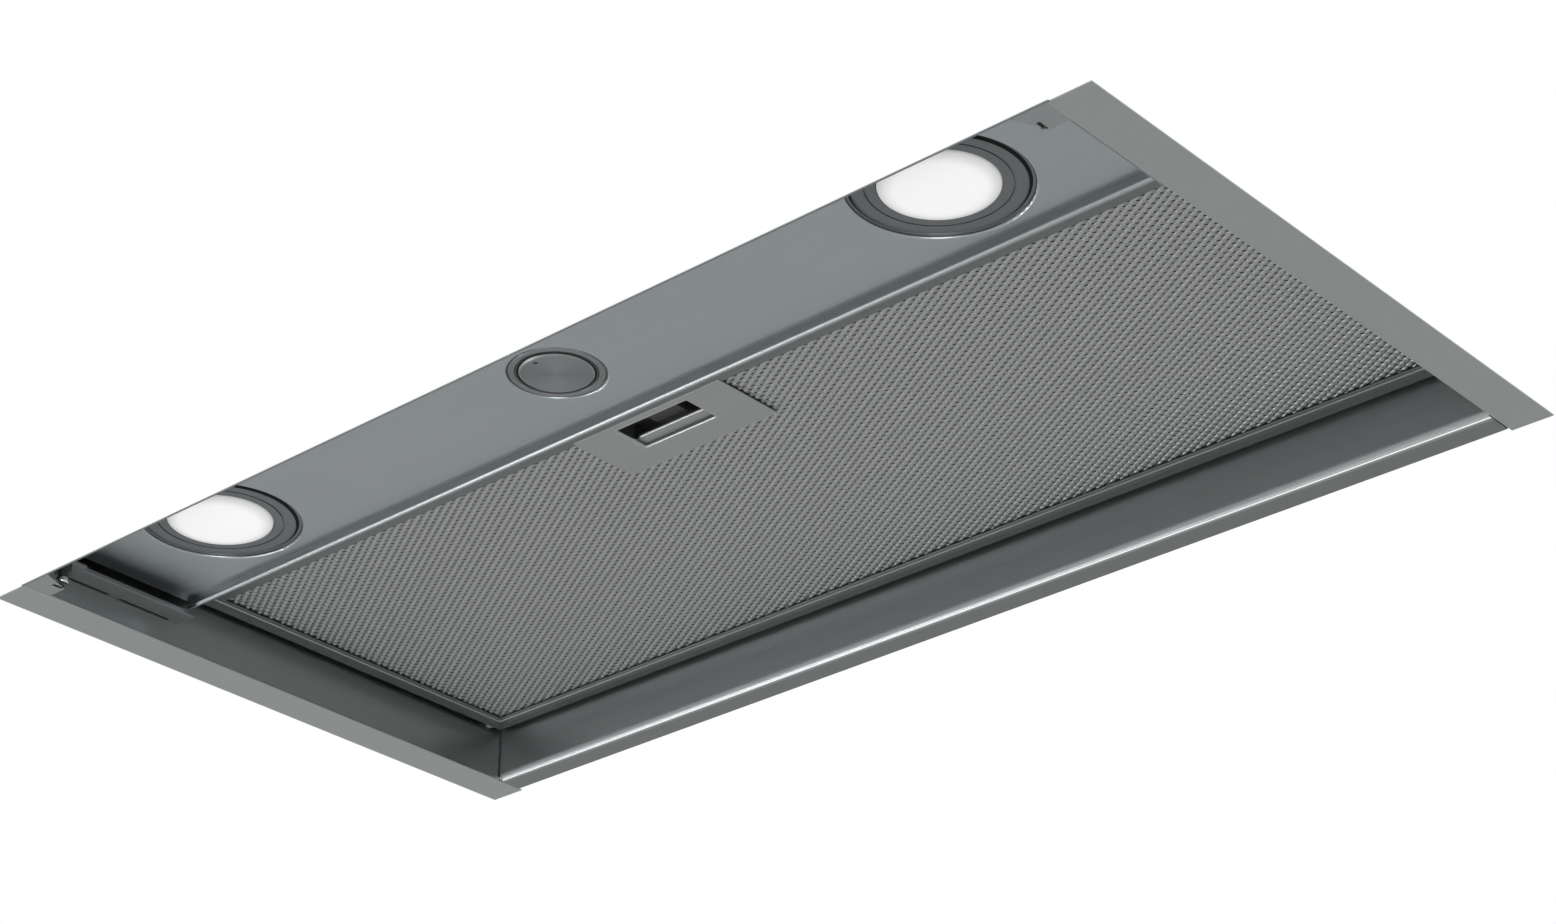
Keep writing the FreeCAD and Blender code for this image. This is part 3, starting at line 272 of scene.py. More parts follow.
def moulded(name, colour, roughness):
    """Moulded plastic with a fine spark-eroded grain."""
    finish = material(name, Metallic=0.0)
    pores = finish.noise(PORES, 2.0)
    finish.look(
        Base_Color=finish.tones(pores, colour, 0.08),
        Roughness=roughness - 0.06 + 0.12 * pores,
        Normal=finish.bump(pores, PORE_DEPTH, 0.35),
    )
    return finish


def plain_metal(name, colour, roughness, grain=300.0):
    """Bare metal with a clouded tone and gloss."""
    finish = material(name, Metallic=1.0)
    cloud = finish.noise(even(grain), 2.0)
    finish.look(
        Base_Color=finish.tones(cloud, colour, 0.08),
        Roughness=roughness - 0.04 + 0.08 * cloud,
    )
    return finish


FLAT = (1.0, 1.0, 0.0)
FROST = even(500.0)
LENS_WHITES = ((0.78, 0.78, 0.775), (0.82, 0.82, 0.815))
LENS_RIM_SHADE = (0.55, 0.555, 0.555)
LENS_EDGE_BEGIN = 0.7
LENS_EDGE_END = 1.04


def opal(name):
    """Frosted white lens that glows faintly, painted greyer and glowing less towards its rim, as painted
    shade.
    """
    finish = material(name, Roughness=0.35, Emission_Strength=0.24)
    centre, radius = centre_of("lamp_lens_right"), half_width("lamp_lens_right")
    spot = (abs(centre[0]), abs(centre[1]), 0.0)
    either_side = finish.vector("ABSOLUTE", finish.place())
    flat = finish.vector("MULTIPLY", finish.vector("SUBTRACT", either_side, spot), FLAT)
    # Painted shade: the lens turns grey, in colour and in glow, towards its rim
    edge = finish.rise(finish.length(flat), LENS_EDGE_BEGIN * radius, LENS_EDGE_END * radius)
    white = finish.mix(finish.noise(FROST, 2.0), *LENS_WHITES)
    shaded = finish.mix(edge, white, LENS_RIM_SHADE)
    finish.look(Base_Color=shaded, Emission_Color=shaded)
    return finish


HIGHLIGHT_LOBE_TURN = math.radians(90)
RINGS_PER_METRE = 4000.0
RING_DEPTH = 0.05 * MM


def spun(name, centre, colour, roughness):
    """Turned metal: fine rings about the knob's axis, and soft lobes painted into its tone as painted
    highlight, where a spun face shows its sheen.
    """
    finish = material(name, Metallic=1.0)
    flat = finish.vector("MULTIPLY", finish.vector("SUBTRACT", finish.place(), centre), FLAT)
    rings = finish.add("ShaderNodeTexNoise", {"noise_dimensions": "1D"},
                       {"W": finish.length(flat) * RINGS_PER_METRE, "Scale": 1.0, "Detail": 2.0})
    sideways = finish.add("ShaderNodeSeparateXYZ", {}, {0: flat}, output="X")
    forwards = finish.add("ShaderNodeSeparateXYZ", {}, {0: flat}, output="Y")
    # Painted highlight: two lighter and two darker lobes about the knob's axis
    painted_highlight_lobes = (2.0 * sideways.math("ARCTAN2", forwards, sideways) + HIGHLIGHT_LOBE_TURN).cosine()
    finish.look(
        Base_Color=finish.tones(0.5 * rings + 0.25 * painted_highlight_lobes + 0.25, colour, 0.2),
        Roughness=roughness,
        Normal=finish.bump(rings, RING_DEPTH, 0.6),
    )
    return finish


STRAND_PITCH = 3.08 * MM
STRAND_ANGLE = math.radians(29.3)
STRAND_CLOUDS = even(700.0)
BEAD_DEPTH = 0.2 * MM


def expanded_metal(name, colour, roughness):
    """Bare aluminium strands with a bead where the two runs of strands cross; the beads bump the surface and
    are painted lighter on their crowns and darker between, as painted highlight and painted shade.
    """
    finish = material(name, Metallic=1.0)
    turn = 2 * math.pi / STRAND_PITCH
    across_x = math.sin(STRAND_ANGLE) * turn
    across_y = math.cos(STRAND_ANGLE) * turn
    columns = finish.along((2 * across_x, 0.0, 0.0)).cosine()
    crossing = finish.along((across_x, -across_y, 0.0)).cosine()
    bead_bumps_and_painted_light = 0.5 + 0.3 * columns + 0.2 * crossing
    cloud = finish.noise(STRAND_CLOUDS, 2.0)
    # The beads' tone is painted highlight on the crowns and painted shade between them; the same beads also
    # bump the surface
    finish.look(
        Base_Color=finish.tones(0.6 * bead_bumps_and_painted_light + 0.4 * cloud, colour, 0.18),
        Roughness=roughness - 0.05 + 0.1 * cloud,
        Normal=finish.bump(bead_bumps_and_painted_light, BEAD_DEPTH, 0.5),
    )
    return finish


KNOB_CENTRE = centre_of("knob_cap")

flange_steel = brushed_steel("flange_steel", ALONG_Y, (0.36, 0.383, 0.379), 0.32)
panel_steel = brushed_steel("panel_steel", ALONG_X, (0.36, 0.39, 0.4), 0.32)
back_steel = rolled_back("back_steel", (0.39, 0.41, 0.414), 0.41)
# A darker copy of the panel's steel for the drip hem, which dims the hem's highlight: painted shade
hem_shaded_steel = brushed_steel("hem_shaded_steel", ALONG_X, (0.305, 0.32, 0.325), 0.4)
front_steel = sheet_shaded_below("front_steel", (0.36, 0.39, 0.4), 0.32)
# A darker copy of the flanges' steel for the rails, as painted shade beside the side walls
rail_shaded_steel = brushed_steel("rail_shaded_steel", ALONG_Y, (0.25, 0.266, 0.268), 0.3)
# A darker copy of the flanges' steel for the corner gussets, as painted shade
gusset_shaded_steel = brushed_steel("gusset_shaded_steel", ALONG_Y, (0.315, 0.333, 0.335), 0.32)
handle_steel = brushed_steel("handle_steel", ALONG_X, (0.335, 0.346, 0.342), 0.45)
zinc_sheet = galvanised("zinc_sheet", (0.52, 0.54, 0.55))
lamp_ring = moulded("lamp_ring_grey", (0.08, 0.088, 0.092), 0.4)
knob_metal = spun("knob_spun", KNOB_CENTRE, (0.215, 0.23, 0.233), 0.3)
frame_metal = plain_metal("filter_frame_aluminium", (0.168, 0.175, 0.175), 0.38)
mesh_metal = expanded_metal("filter_mesh_aluminium", (0.385, 0.395, 0.391), 0.42)
# A darker copy of the mesh's aluminium for the recessed strands, as painted shade
mesh_shade = expanded_metal("filter_mesh_painted_shade", (0.285, 0.293, 0.29), 0.46)
edge_metal = plain_metal("polished_edge", (0.25, 0.263, 0.265), 0.4, 900.0)
bright_metal = plain_metal("bright_metal", (0.72, 0.72, 0.72), 0.2)
cast_metal = plain_metal("cast_alloy", (0.5, 0.5, 0.51), 0.45)
weld_grey = plain_metal("weld_grey", (0.36, 0.365, 0.37), 0.45)
lamination = plain_metal("lamination_steel", (0.25, 0.24, 0.23), 0.5)
latch_plastic = moulded("latch_plastic", (0.13, 0.135, 0.138), 0.35)
tray_plastic = moulded("tray_plastic", (0.02, 0.02, 0.022), 0.5)
# Near-black for the slopes round the lamp rings: painted shadow in the gap at the panel's holes
painted_shadow_black = moulded("painted_shadow_black", (0.008, 0.008, 0.009), 0.8)
painted_shadow_black.look(Specular_IOR_Level=0.12)
pull_satin = plain_metal("pull_satin", (0.25, 0.255, 0.258), 0.3, 900.0)
pull_grip = moulded("pull_grip", (0.2, 0.204, 0.206), 0.45)
black_plastic = moulded("black_plastic", (0.03, 0.03, 0.032), 0.42)
grey_plastic = moulded("grey_plastic", (0.1, 0.104, 0.11), 0.45)
white_board = moulded("white_board", (0.75, 0.75, 0.72), 0.5)
green_board = moulded("green_board", (0.03, 0.16, 0.07), 0.4)
opal_lens = opal("opal_lens")

FINISH_OF_SLOT = {
    "brushed_steel": panel_steel,
    "galvanised_steel": zinc_sheet,
    "bright_steel": bright_metal,
    "lamp_ring": lamp_ring,
    "opal_lens": opal_lens,
    "cast_alloy": cast_metal,
    "white_board": white_board,
    "circuit_board": green_board,
    "knob_metal": knob_metal,
    "filter_aluminium": frame_metal,
    "latch_plastic": latch_plastic,
    "black_plastic": black_plastic,
    "grey_plastic": grey_plastic,
    "lamination_steel": lamination,
}
FINISH_OF_NODE = {
    "left_side_panel": flange_steel,
    "right_side_panel": flange_steel,
    "corner_gusset_left": gusset_shaded_steel,
    "corner_gusset_right": gusset_shaded_steel,
    "front_panel": front_steel,
    "panel_rail_left": rail_shaded_steel,
    "panel_rail_right": rail_shaded_steel,
    "back_panel": back_steel,
    "handle_plate": handle_steel,
    "handle_tray": tray_plastic,
}


def paint(item, finish):
    item.data.materials.clear()
    item.data.materials.append(finish.owner)


def paint_faces(item, finish, chosen):
    """A further finish on the faces that are chosen."""
    item.data.materials.append(finish.owner)
    for face in item.data.polygons:
        if chosen(face):
            face.material_index = len(item.data.materials) - 1


for part in frame["record"]["subparts"]:
    name = part["node"]
    paint(nodes[name], FINISH_OF_NODE.get(name, FINISH_OF_SLOT[part["material_slot"]]))


# Edges of the CAD nodes that the light catches
def soften(width, *names):
    for name in names:
        item = nodes[name]
        weld = item.modifiers.new("weld", "WELD")
        weld.merge_threshold = 0.001 * MM
        edge = item.modifiers.new("rounded_edges", "BEVEL")
        edge.width = width
        edge.segments = 2
        edge.limit_method = "ANGLE"
        edge.angle_limit = math.radians(50)
        edge.harden_normals = True


soften(0.25 * MM, "front_panel", "corner_gusset_left", "corner_gusset_right", "panel_rail_left",
       "panel_rail_right", "handle_plate", "filter_frame", "blower_front_plate", "blower_back_plate")
soften(0.5 * MM, "knob_bezel", "junction_lid", "lamp_driver")


# Mesh pieces
def face_outwards(mesh):
    shell = bmesh.new()
    shell.from_mesh(mesh)
    bmesh.ops.recalc_face_normals(shell, faces=shell.faces)
    shell.to_mesh(mesh)
    shell.free()


def piece(name, mesh_parts, finish, body):
    vertices, faces = mesh_parts
    mesh = bpy.data.meshes.new(name)
    mesh.from_pydata(vertices, [], faces)
    mesh.validate()
    face_outwards(mesh)
    item = bpy.data.objects.new(name, mesh)
    scene.collection.objects.link(item)
    paint(item, finish)
    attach(item, body)
    return item


def gathered(parts):
    """Several pairs of vertices and faces as one pair."""
    vertices, faces = [], []
    for more, more_faces in parts:
        shift = len(vertices)
        vertices += more
        faces += [tuple(shift + corner for corner in face) for face in more_faces]
    return vertices, faces


def round_at(radius):
    return lambda angle: radius


def turned(centre, rows, steps, closed=True):
    """A form about a vertical axis. Each row is a radius that may vary with the angle, and a height."""
    vertices, faces = [], []
    for reach, height in rows:
        for step in range(steps):
            angle = 2 * math.pi * step / steps
            across, along = reach(angle) * math.cos(angle), reach(angle) * math.sin(angle)
            vertices.append((centre[0] + across, centre[1] + along, height))
    count = len(rows)
    for row in range(count if closed else count - 1):
        low, high = row * steps, (row + 1) % count * steps
        for step in range(steps):
            after = (step + 1) % steps
            faces.append((low + step, low + after, high + after, high + step))
    if not closed:
        faces.append(tuple(reversed(range(steps))))
        faces.append(tuple((count - 1) * steps + step for step in range(steps)))
    return vertices, faces


def smooth(item, limit=35):
    item.data.polygons.foreach_set("use_smooth", [True] * len(item.data.polygons))
    item.data.set_sharp_from_angle(angle=math.radians(limit))


# Expanded metal of the filter: raised strands one way, recessed strands the other way
def runs(angle, pitch, window, notch):
    """Centre lines across a window, pitch apart, as pairs of ends. They stop at the notch."""
    (left, front), (right, back) = window
    (notch_left, notch_front), (notch_right, notch_back) = notch
    along = Vector((math.cos(angle), math.sin(angle)))
    across = Vector((-along.y, along.x))
    reach = Vector((right - left, back - front)).length
    middle = Vector(((left + right) / 2, (front + back) / 2))

    def inside(start, lows, highs):
        """The stretch of the line from start that is between two corners."""
        low, high = -reach, reach
        for axis in range(2):
            ends = sorted((corner[axis] - start[axis]) / along[axis] for corner in (lows, highs))
            low, high = max(low, ends[0]), min(high, ends[1])
        return low, high

    count = int(reach / pitch / 2) + 1
    for number in range(-count, count + 1):
        start = middle + across * (number * pitch)
        low, high = inside(start, (left, front), (right, back))
        gap_low, gap_high = inside(start, (notch_left, notch_front), (notch_right, notch_back))
        stretches = [(low, high)]
        if gap_low < gap_high:
            stretches = [(low, min(gap_low, high)), (max(gap_high, low), high)]
        for begin, end in stretches:
            if end - begin > pitch:
                yield start + along * begin, start + along * end


def strands(lines, profile, neck=None, bead=None):
    """Bars along the lines. The profile is a closed loop of (sideways, height) points.

    With a neck, the bars swell into a bead between each two necks.
    """
    vertices, faces = [], []
    count = len(profile)
    for begin, end in lines:
        length = (end - begin).length
        along = (end - begin) / length
        across = Vector((-along.y, along.x))
        stations = [(0.0, profile), (length, profile)]
        if neck:
            lag = bead - begin.dot(along) % bead
            number = int((length - lag) / bead)
            stations = [(0.0, neck)]
            for turn in range(number):
                stations.append((lag + turn * bead, neck))
                stations.append((lag + (turn + 0.5) * bead, profile))
            stations.append((length, neck))
        first = len(vertices)
        for reach, section in stations:
            point = begin + along * reach
            for sideways, height in section:
                spot = point + across * sideways
                vertices.append((spot.x, spot.y, height))
        for row in range(len(stations) - 1):
            low = first + row * count
            for i in range(count):
                j = (i + 1) % count
                faces.append((low + i, low + j, low + count + j, low + count + i))
        last = first + (len(stations) - 1) * count
        faces.append(tuple(first + i for i in reversed(range(count))))
        faces.append(tuple(last + i for i in range(count)))
    return vertices, faces


# Outlines of a strand: sideways in mm, and height as a share of the layer's depth
RAISED_STRAND = [(-1.05, 0.62), (-0.62, 0.0), (0.62, 0.0), (1.05, 0.62)]
STRAND_NECK = [(-0.8, 0.62), (-0.36, 0.42), (0.36, 0.42), (0.8, 0.62)]
RECESSED_STRAND = [(-1.12, 0.55), (1.12, 0.55), (1.0, 1.0), (-1.0, 1.0)]
BEAD_PITCH = STRAND_PITCH / math.sin(2 * STRAND_ANGLE)


def expanded_layer(name, node, face, back):
    """The layer for a CAD mesh node, with raised strands at face and recessed ones at back, the recessed ones
    painted darker as painted shade.
    """
    low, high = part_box(node)
    tray_low, tray_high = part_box("handle_tray")
    notch = ((tray_low[0], low[1] - 1), (tray_high[0], tray_high[1]))
    window = ((low[0], low[1]), (high[0], high[1]))
    depth = back - face

    def section(points):
        outline = [(sideways * MM, face + share * depth) for sideways, share in points]
        return outline if depth > 0 else outline[::-1]

    raised_lines = runs(-STRAND_ANGLE, STRAND_PITCH, window, notch)
    over = strands(raised_lines, section(RAISED_STRAND), section(STRAND_NECK), BEAD_PITCH)
    under = strands(runs(STRAND_ANGLE, STRAND_PITCH, window, notch), section(RECESSED_STRAND))
    layer = piece(name, gathered([over, under]), mesh_metal, "filter")
    raised_faces = len(over[1])
    # Painted shade: the recessed strands take the darker copy of the mesh's finish
    paint_faces(layer, mesh_shade, lambda polygon: polygon.index >= raised_faces)
    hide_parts(node)


for layer_name, mesh_node, downward in (("mesh_strands_lower", "filter_mesh_lower", True),
                                        ("mesh_strands_upper", "filter_mesh_upper", False)):
    lowest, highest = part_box(mesh_node)
    ends = (lowest[2], highest[2]) if downward else (highest[2], lowest[2])
    expanded_layer(layer_name, mesh_node, *ends)


# Bars and rounded forms
def prism(rows):
    """A solid between two or more loops with the same number of points."""
    count = len(rows[0])
    vertices = [tuple(point) for row in rows for point in row]
    faces = []
    for row in range(len(rows) - 1):
        low = row * count
        faces += [(low + i, low + (i + 1) % count, low + count + (i + 1) % count, low + count + i)
                  for i in range(count)]
    last = (len(rows) - 1) * count
    return vertices, faces + [tuple(reversed(range(count))), tuple(range(last, last + count))]


def upright(outline, low, high):
    """A bar with an outline in X and Y that stands from one height to another."""
    return prism([[(x, y, height) for x, y in outline] for height in (low, high)])


def lengthwise(outline, low, high):
    """A bar with an outline in Y and Z that runs from one X to another."""
    return prism([[(x, y, z) for y, z in outline] for x in (low, high)])


def arc(centre, radius, start, stop, steps=6):
    """Points on an arc, by angles in degrees."""
    turns = [math.radians(start + (stop - start) * step / steps) for step in range(steps + 1)]
    return [(centre[0] + radius * math.cos(turn), centre[1] + radius * math.sin(turn)) for turn in turns]


def circle(radius, steps):
    return arc((0.0, 0.0), radius, 0, 360 - 360 / steps, steps - 1)


def loop(rows):
    """A closed ring through loops of points."""
    count = len(rows[0])
    vertices = [tuple(point) for row in rows for point in row]
    faces = []
    for row in range(len(rows)):
        low, high = row * count, (row + 1) % len(rows) * count
        faces += [(low + i, high + i, high + (i + 1) % count, low + (i + 1) % count) for i in range(count)]
    return vertices, faces


def moved(parts, x, y, z):
    vertices, faces = parts
    return [(vertex[0] + x, vertex[1] + y, vertex[2] + z) for vertex in vertices], faces


def carved(parts, cutter):
    """A form less a cutter."""
    items = []
    for vertices, faces in (parts, cutter):
        mesh = bpy.data.meshes.new("blank")
        mesh.from_pydata(vertices, [], faces)
        items.append(bpy.data.objects.new("blank", mesh))
        scene.collection.objects.link(items[-1])
    cut = items[0].modifiers.new("cut", "BOOLEAN")
    cut.object = items[1]
    cut.operation = "DIFFERENCE"
    graph = bpy.context.evaluated_depsgraph_get()
    result = bpy.data.meshes.new_from_object(items[0].evaluated_get(graph))
    vertices = [tuple(vertex.co) for vertex in result.vertices]
    faces = [tuple(polygon.vertices) for polygon in result.polygons]
    bpy.data.meshes.remove(result)
    for item in items:
        bpy.data.meshes.remove(item.data)
    return vertices, faces


def on_plane(normal):
    """Two directions across a normal."""
    normal = Vector(normal)
    first = normal.orthogonal().normalized()
    return first, normal.cross(first)


# A rib's ends: distance in half widths, and share of the full height
RIB_ENDS = ((0.0, 0.05), (0.35, 0.7), (1.0, 1.0))
RIB_END_WIDTH = 0.4


def rib(begin, end, normal, half, height):
    """A pressed rib on a sheet, half round, that runs out at both ends."""
    begin, end, normal = Vector(begin), Vector(end), Vector(normal)
    along = (end - begin).normalized()
    across = normal.cross(along)
    length = (end - begin).length
    rows = [(reach * half, share) for reach, share in RIB_ENDS]
    rows += [(length - reach, share) for reach, share in reversed(rows)]
    arch = arc((0.0, 0.0), 1.0, 0, 180, 8)
    loops = []
    for reach, share in rows:
        foot = begin + along * reach
        width, rise = half * (RIB_END_WIDTH + (1 - RIB_END_WIDTH) * share), height * share
        loops.append([foot + across * (x * width) + normal * (y * rise) for x, y in arch])
    return prism(loops)


# A dimple's rows: shares of its radius and of its height
DIMPLE_ROWS = ((1.0, 0.0), (0.8, 0.8), (0.45, 1.0), (0.3, 0.6))


def dimple(centre, normal, radius, height):
    """A low round mark on a sheet, such as a spot weld."""
    first, second = on_plane(normal)
    rows = []
    for share, rise in DIMPLE_ROWS:
        middle = Vector(centre) + Vector(normal) * (rise * height)
        rows.append([middle + (first * x + second * y) * share for x, y in circle(radius, 12)])
    return prism(rows)


# Filter latch: a pull with a rounded nose and a dark tongue, behind a slot with a rolled edge
FACING_DOWN = -0.99


def latch_pull():
    low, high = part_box("latch_slider")
    grip_depth, sheet, nose, hem = 10 * MM, 1.5 * MM, 1.3 * MM, 0.5 * MM
    front, rear = high[1] - grip_depth, high[1]
    inner = front + sheet
    outline = arc((front + nose, low[2] + nose), nose, 270, 180)
    outline += [(front, high[2]), (inner, high[2]), (inner, low[2] + sheet), (rear, low[2] + sheet)]
    outline += arc((rear - hem, low[2] + hem), hem, 0, -90)
    grip = lengthwise(outline, low[0], high[0])
    tongue_half, tongue_depth, tip = 8 * MM, 2.4 * MM, 0.6 * MM
    tongue_low = high[2] - tongue_depth
    side = [(low[1], high[2]), (low[1], tongue_low + tip), (low[1] + tip, tongue_low), (front, tongue_low),
            (front, high[2])]
    tongue = lengthwise(side, -tongue_half, tongue_half)
    item = piece("latch_pull", gathered([grip, tongue]), pull_satin, "latch")
    grip_faces = len(grip[1])
    paint_faces(item, tray_plastic, lambda face: face.index >= grip_faces)
    paint_faces(item, pull_grip, lambda face: face.index < grip_faces and face.normal.z < FACING_DOWN)
    smooth(item)
    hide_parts("latch_slider")


def leaf_spring():
    """The bowed leaf behind the pull. On the real latch it flattens against the back of its tray as the pull
    comes back; here it stays bowed and does not move with the pull.
    """
    low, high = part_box("latch_spring")
    half, rise, strip = high[0], high[1] - low[1], 0.5 * MM
    radius = (half * half + rise * rise) / (2 * rise)
    centre = (0.0, high[1] - radius)
    reach = math.degrees(math.asin((low[1] - centre[1]) / radius))
    outline = arc(centre, radius, reach, 180 - reach, 32)
    outline += arc(centre, radius - strip, 180 - reach, reach, 32)
    item = piece("latch_leaf", upright(outline, low[2], high[2]), bright_metal, "filter")
    smooth(item)
    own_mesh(item)
    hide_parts("latch_spring")


def slot_edge():
    """A rolled edge round the finger slot of the handle plate."""
    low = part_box("handle_plate")[0]
    half, front, rear = 20.5 * MM, low[1] + 3.2 * MM, low[1] + 22.7 * MM
    corner, roll = 1.2 * MM, 1.0 * MM
    height = low[2] + 0.9 * MM
    path = []
    for x, y, start in ((half, rear, 0), (-half, rear, 90), (-half, front, 180), (half, front, 270)):
        centre = (x - math.copysign(corner, x), y - corner if y == rear else y + corner)
        path += arc(centre, corner, start, start + 90, 4)
    rows = []
    for number, spot in enumerate(path):
        before, after = Vector(path[number - 1]), Vector(path[(number + 1) % len(path)])
        along = (after - before).normalized()
        across = Vector((along.y, -along.x))
        rows.append([(*(Vector(spot) + across * sideways), height + up) for sideways, up in circle(roll, 10)])
    smooth(piece("slot_rolled_edge", loop(rows), flange_steel, "filter"), 80)


def frame_bead():
    """The rolled inner edge of the filter frame, which holds the mesh at its sides and its back. It is
    painted in a lighter steel than the frame's own metal, as painted highlight along the edge.
    """
    low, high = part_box("filter_mesh_lower")
    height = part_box("filter_frame")[0][2] + 0.6 * MM
    roll = 0.9 * MM
    corners = [(high[0], low[1]), (high[0], high[1]), (low[0], high[1]), (low[0], low[1])]
    outward = [(1, 0), (1, 1), (-1, 1), (-1, 0)]
    rows = [[(x + out_x * sideways, y + out_y * sideways, height + up) for sideways, up in circle(roll, 12)]
            for (x, y), (out_x, out_y) in zip(corners, outward)]
    # Painted highlight: the bead takes the lighter handle steel in place of the frame's metal
    smooth(piece("frame_bead", prism(rows), handle_steel, "filter"), 50)


def lip_shadow_rim():
    """The flat rim along the front of the mesh, which steps forward round the handle plate. It is part of the
    frame, and its dark metal over the front of the mesh stands in for the drip lip's shadow: painted shadow.
    """
    low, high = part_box("filter_mesh_lower")
    plate_low, plate_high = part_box("handle_plate")
    half = plate_high[0] + 0.2 * MM
    front, rear, step = low[1] - 0.5 * MM, low[1] + 4.4 * MM, plate_low[1] - 0.15 * MM
    outline = [(low[0], front), (high[0], front), (high[0], rear), (half, rear), (half, step), (-half, step),
               (-half, rear), (low[0], rear)]
    rim = upright(outline, plate_low[2] + 0.2 * MM, low[2] - 0.05 * MM)
    # Painted shadow: dark frame metal over the front of the mesh, where the drip lip shades it
    piece("lip_shadow_rim", rim, frame_metal, "filter")


def drip_hem():
    """The rolled hem along the drip lip of the light panel."""
    low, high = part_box("control_panel")
    radius = 1.4 * MM
    middle = (high[1] - 0.75 * MM, low[2] + 1.1 * MM)
    outline = [(middle[0] + across, middle[1] + up) for across, up in circle(radius, 24)]
    smooth(piece("drip_hem", lengthwise(outline, low[0], high[0]), hem_shaded_steel, "hood"), 50)


latch_pull()
leaf_spring()
slot_edge()
frame_bead()
lip_shadow_rim()
drip_hem()


# Knob: a cap with a spun face and a polished chamfer, and a near-black lip in the bore that it sinks into, as
# painted shade in the gap round the cap
CHAMFER_FACING = -0.8
FACING_SLACK = 0.1
KNOB_GAP = 1.4 * MM
# The dark lip's outline, painted shade in the gap: mm out from the bore, and up from the knob ring's lower
# face
KNOB_LIP = [(0.02, -0.05), (-0.3, -0.06), (-0.75, 0.1), (-0.75, 0.6), (-0.2, 1.2), (0.02, 1.2)]


def knob_cap():
    low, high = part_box("knob_cap")
    radius = half_width("knob_cap")
    face, top = low[2], high[2]
    wall, boss, bore = 1.8 * MM, 5.5 * MM, 3 * MM
    chamfer, rise = 0.8 * MM, 0.6 * MM
    floor_top, inside = face + wall, radius - wall
    profile = [(radius - chamfer, face), (radius, face + rise), (radius, top), (inside, top),
               (inside, floor_top), (boss, floor_top), (boss, top), (bore, top), (bore, floor_top)]
    body = turned(KNOB_CENTRE, [(round_at(reach), height) for reach, height in profile], 96, closed=False)
    mark, inset, depth = 0.9 * MM, 3.4 * MM, 0.6 * MM
    spot = (KNOB_CENTRE[0], KNOB_CENTRE[1] - radius + inset)
    outline = [(spot[0] + x, spot[1] + y) for x, y in circle(mark, 20)]
    dot = upright(outline, face - depth, face + depth)
    item = piece("knob_turned_cap", carved(body, dot), knob_metal, "knob")
    paint_faces(item, edge_metal, lambda polygon: abs(polygon.normal.z - CHAMFER_FACING) < FACING_SLACK)
    smooth(item, 25)
    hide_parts("knob_cap")


# Painted shade: a near-black lip in the bore, where the gap round the knob cap lies in shade
def knob_gap_shade():
    bore = half_width("knob_cap") + KNOB_GAP
    ring_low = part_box("knob_bezel")[0][2]
    rows = [(round_at(bore + out * MM), ring_low + up * MM) for out, up in KNOB_LIP]
    smooth(piece("knob_gap_shade_lip", turned(KNOB_CENTRE, rows, 96), tray_plastic, "hood"), 60)


knob_cap()
knob_gap_shade()


# Sealant in the joints between the back panel and the side panels
BACK_WALL_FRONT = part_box("filter_frame")[1][1] + 2.75 * MM
# The bead's outline in mm, sideways from the side panel and back from the wall's front
SEALANT_BEAD = [(0.0, -0.8), (-0.25, -0.3), (-0.8, 0.0), (-0.8, 0.7), (0.0, 0.7)]
SEAM_WIDTH = 0.8 * MM


def sealant():
    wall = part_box("right_side_panel")[0][0]
    low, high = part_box("back_panel")
    front, rear = BACK_WALL_FRONT, high[1]
    bars = []
    for side in (1, -1):
        outline = [(side * (wall + sideways * MM), front + depth * MM) for sideways, depth in SEALANT_BEAD]
        bars.append(upright(outline[::side], low[2] + 2 * MM, high[2] - 1 * MM))
        inner, outer = side * (wall - SEAM_WIDTH), side * wall
        seam = [(inner, front), (outer, front), (outer, rear), (inner, rear)]
        bars.append(upright(seam[::side], low[2] + 0.3 * MM, low[2] + 0.7 * MM))
    piece("corner_sealant", gathered(bars), black_plastic, "hood")


sealant()


# Front corners: polished studs that hold the rails, and the bends of the side panels' flanges
# A stud's profile: shares of the CAD stud's radius and height
STUD_BARREL = [(0.7, 0.0), (1.08, 0.06), (1.24, 0.25), (1.26, 0.55), (1.2, 0.85), (0.95, 1.15), (0.6, 1.25)]


def rail_studs():
    low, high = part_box("rail_studs")
    radius = (high[1] - low[1]) / 2
    rows = [(round_at(share * radius), low[2] + rise * (high[2] - low[2])) for share, rise in STUD_BARREL]
    middle = (low[1] + high[1]) / 2
    studs = [turned((x, middle), rows, 40, closed=False) for x in (low[0] + radius, high[0] - radius)]
    item = piece("polished_studs", gathered(studs), bright_metal, "hood")
    smooth(item, 50)
    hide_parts("rail_studs")


def flange_bends():
    low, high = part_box("right_side_panel")
    radius = 0.7 * MM
    bars = []
    for side in (1, -1):
        middle = (side * (low[0] + 0.55 * MM), low[2] + 0.6 * MM)
        ends = [[(middle[0] + across, y, middle[1] + up) for across, up in circle(radius, 20)]
                for y in (high[1], low[1])]
        bars.append(prism(ends))
    smooth(piece("flange_bends", gathered(bars), flange_steel, "hood"), 50)


rail_studs()
flange_bends()


# Screws with a pan head and a cross recess
# Shares of the head's radius and height
PAN_PROFILE = [(1.0, 0.0), (1.0, 0.35), (0.93, 0.62), (0.75, 0.85), (0.45, 0.97), (0.05, 1.0)]
CROSS_REACH = 0.58
CROSS_HALF_WIDTH = 0.14
CROSS_FLOOR = 0.4


